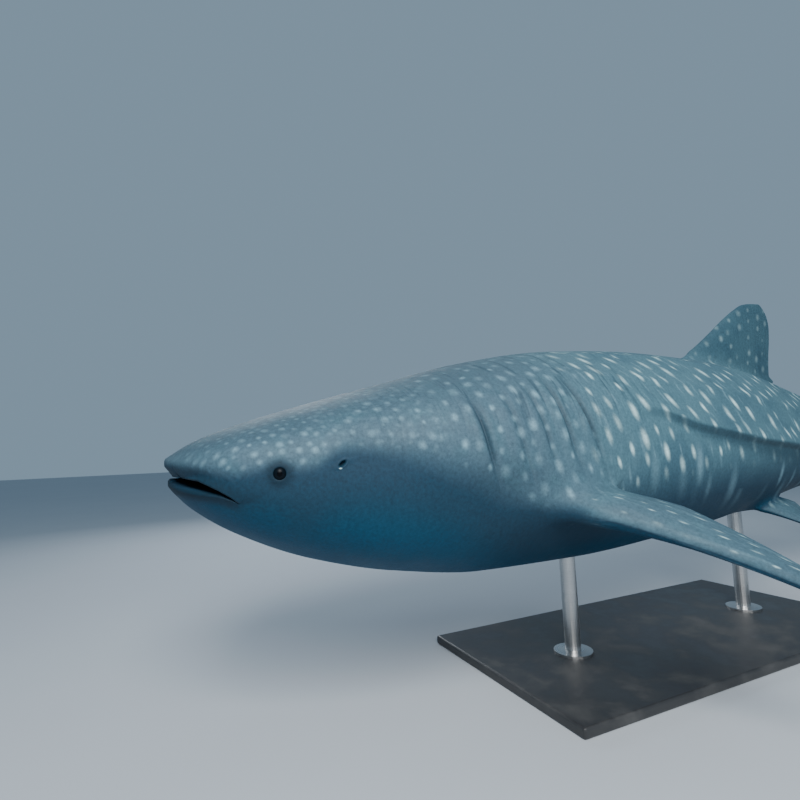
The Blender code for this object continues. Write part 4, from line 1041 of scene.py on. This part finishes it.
joined.materials.append(painted_skin())
skin_object = body
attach(skin_object, "root")
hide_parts("head", "lower_jaw", "trunk", "tail", "caudal_fin_upper", "caudal_fin_lower",
            "dorsal_fin_first", "dorsal_fin_second", "anal_fin", "pectoral_fin_left", "pectoral_fin_right",
            "pelvic_fin_left", "pelvic_fin_right")

# Eyes: glass balls set in the sockets, almost black, with a barely lighter iris round a wide pupil.
# Each is dropped into its lid from outside and stands a little proud.
EYE_ROWS, EYE_TURNS = 32, 48
EYE_BULGE = 0.12
PUPIL = (0.0005, 0.001, 0.002, 1.0)
IRIS = (0.003, 0.006, 0.010, 1.0)
IRIS_DARK = (0.001, 0.003, 0.005, 1.0)


def eye(name, side):
    """A ball just inside the flank, its pole turned out of it; the pole's distance is kept at each point."""
    along = surface_point(EYE_PLACE[0] + 0.05, EYE_PLACE[1]) - eye_middle
    rising = surface_point(EYE_PLACE[0], EYE_PLACE[1] + 0.05) - eye_middle
    out = np.cross(along, rising)
    out /= np.linalg.norm(out)
    aft = along / np.linalg.norm(along)
    up = np.cross(out, aft)
    centre = eye_middle - out * (EYE_RADIUS - EYE_BULGE) * HUNDREDTH
    rows = np.linspace(0, pi, EYE_ROWS + 1)[1:-1, None, None]
    turns = np.linspace(0, 2 * pi, EYE_TURNS, endpoint=False)[None, :, None]
    ball = np.cos(rows) * out + np.sin(rows) * (np.cos(turns) * aft + np.sin(turns) * up)
    ball, poles = ((unit * EYE_RADIUS * HUNDREDTH + centre) * (1.0, -side, 1.0)
                   for unit in (ball, np.stack([out, -out])))
    obj = closed_tube(name, ball, poles)
    set_faces(obj.data, "use_smooth", True)
    rim = np.concatenate([np.repeat(np.sin(rows.ravel()), EYE_TURNS), (0.0, 1.0)]).astype(np.float32)
    layer = obj.data.attributes.new("from_pupil", "FLOAT", "POINT")
    layer.data.foreach_set("value", rim)
    return obj


def eye_glass():
    """Dark glass: black pupil, then the clouded iris, by distance from the pole."""
    material, tree, shader, position = new_material("eye_glass")
    from_pupil = put(tree, "ShaderNodeAttribute", attribute_name="from_pupil").outputs["Fac"]
    clouds, specks = add_uneven(tree, position, 120.0, 900.0)
    iris = blend_colours(tree, clouds, IRIS, IRIS_DARK)
    wire(tree, shader, {"Base Color": blend_colours(tree, ramp(tree, from_pupil, 0.30, 0.36), PUPIL, iris),
                        "Roughness": ramp(tree, specks, 0.3, 0.7, 0.30, 0.38), "Specular IOR Level": 0.08})
    return material


glass = eye_glass()
for name, side in SIDES:
    ball = eye("eyeball_" + name, side)
    ball.data.materials.append(glass)
    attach(ball, "root")
    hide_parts("eye_" + name)

# Floor: a plain pale studio floor, swept far enough to fill the view.
# It is matt, blue-grey and all but even.
FLOOR_REACH = 60.0
FLOOR_TONES = (0.40, 0.44, 0.48, 1.0), (0.45, 0.49, 0.53, 1.0)


def pale_floor():
    """A matt floor with the faintest clouds."""
    material, tree, shader, position = new_material("pale_floor")
    clouds, specks = add_uneven(tree, position, 0.4, 40.0)
    wire(tree, shader, {"Base Color": blend_colours(tree, clouds, *FLOOR_TONES), "Roughness": 0.9})
    return material


floor_corners = np.array([(-1, -1, 0), (1, -1, 0), (1, 1, 0), (-1, 1, 0)]) * FLOOR_REACH
floor_mesh = bpy.data.meshes.new("floor")
floor_mesh.from_pydata(floor_corners.tolist(), [], [(0, 1, 2, 3)])
floor_mesh.materials.append(pale_floor())
floor = bpy.data.objects.new("floor", floor_mesh)
bpy.context.scene.collection.objects.link(floor)

# Studio light: a soft key lamp high on the left ahead of the model, a wide one overhead and a weaker one from
# the far side, in a pale blue, even surround. Each lamp is a square that looks at the middle of the model.
WORLD_COLOUR = (0.46, 0.66, 0.86, 1.0)
WORLD_STRENGTH = 0.45
# Name, side in metres, watts, place, colour
LAMPS = (("key", 3.5, 960.0, (-3.4, -5.7, 5.2), (1.0, 0.99, 0.97)),
         ("overhead", 6.0, 60.0, (1.0, 0.5, 7.0), (0.94, 0.97, 1.0)),
         ("far_side_fill", 4.0, 240.0, (-1.0, 7.5, 5.0), (0.90, 0.95, 1.0)))

world = bpy.data.worlds.new("studio")
world.use_nodes = True
wire(world.node_tree, world.node_tree.nodes["Background"],
     {"Color": WORLD_COLOUR, "Strength": WORLD_STRENGTH})
bpy.context.scene.world = world
for name, size, power, location, colour in LAMPS:
    lamp = bpy.data.lights.new(name, "AREA")
    lamp.size = size
    lamp.energy = power
    lamp.color = colour
    lamp_object = bpy.data.objects.new(name, lamp)
    lamp_object.location = location
    towards = Vector((0.0, 0.0, AXIS_HEIGHT)) - lamp_object.location
    lamp_object.rotation_euler = towards.to_track_quat("-Z", "Y").to_euler()
    bpy.context.scene.collection.objects.link(lamp_object)

# Camera: level with the tip of the snout and 2.4 m out on the left, looking across and aft, a little upwards.
# Its place, angles and wide lens come from the fit of the body to the photo.
CAMERA_PLACE = (-2.9265, -2.4338, 1.2455)
PAN, TILT, ROLL = -24.93, 95.72, -2.3
FOCAL_LENGTH, IMAGE_WIDTH = 514.81, 800
SENSOR_WIDTH = 36.0

camera_data = bpy.data.cameras.new("camera")
camera_data.sensor_width = SENSOR_WIDTH
camera_data.lens = FOCAL_LENGTH / IMAGE_WIDTH * SENSOR_WIDTH
camera_data.clip_end = 300.0
camera = bpy.data.objects.new("camera", camera_data)
bpy.context.scene.collection.objects.link(camera)
camera.matrix_world = (Matrix.Translation(CAMERA_PLACE) @ Matrix.Rotation(radians(PAN), 4, "Z")
                       @ Matrix.Rotation(radians(TILT), 4, "X") @ Matrix.Rotation(radians(ROLL), 4, "Z"))
bpy.context.scene.camera = camera
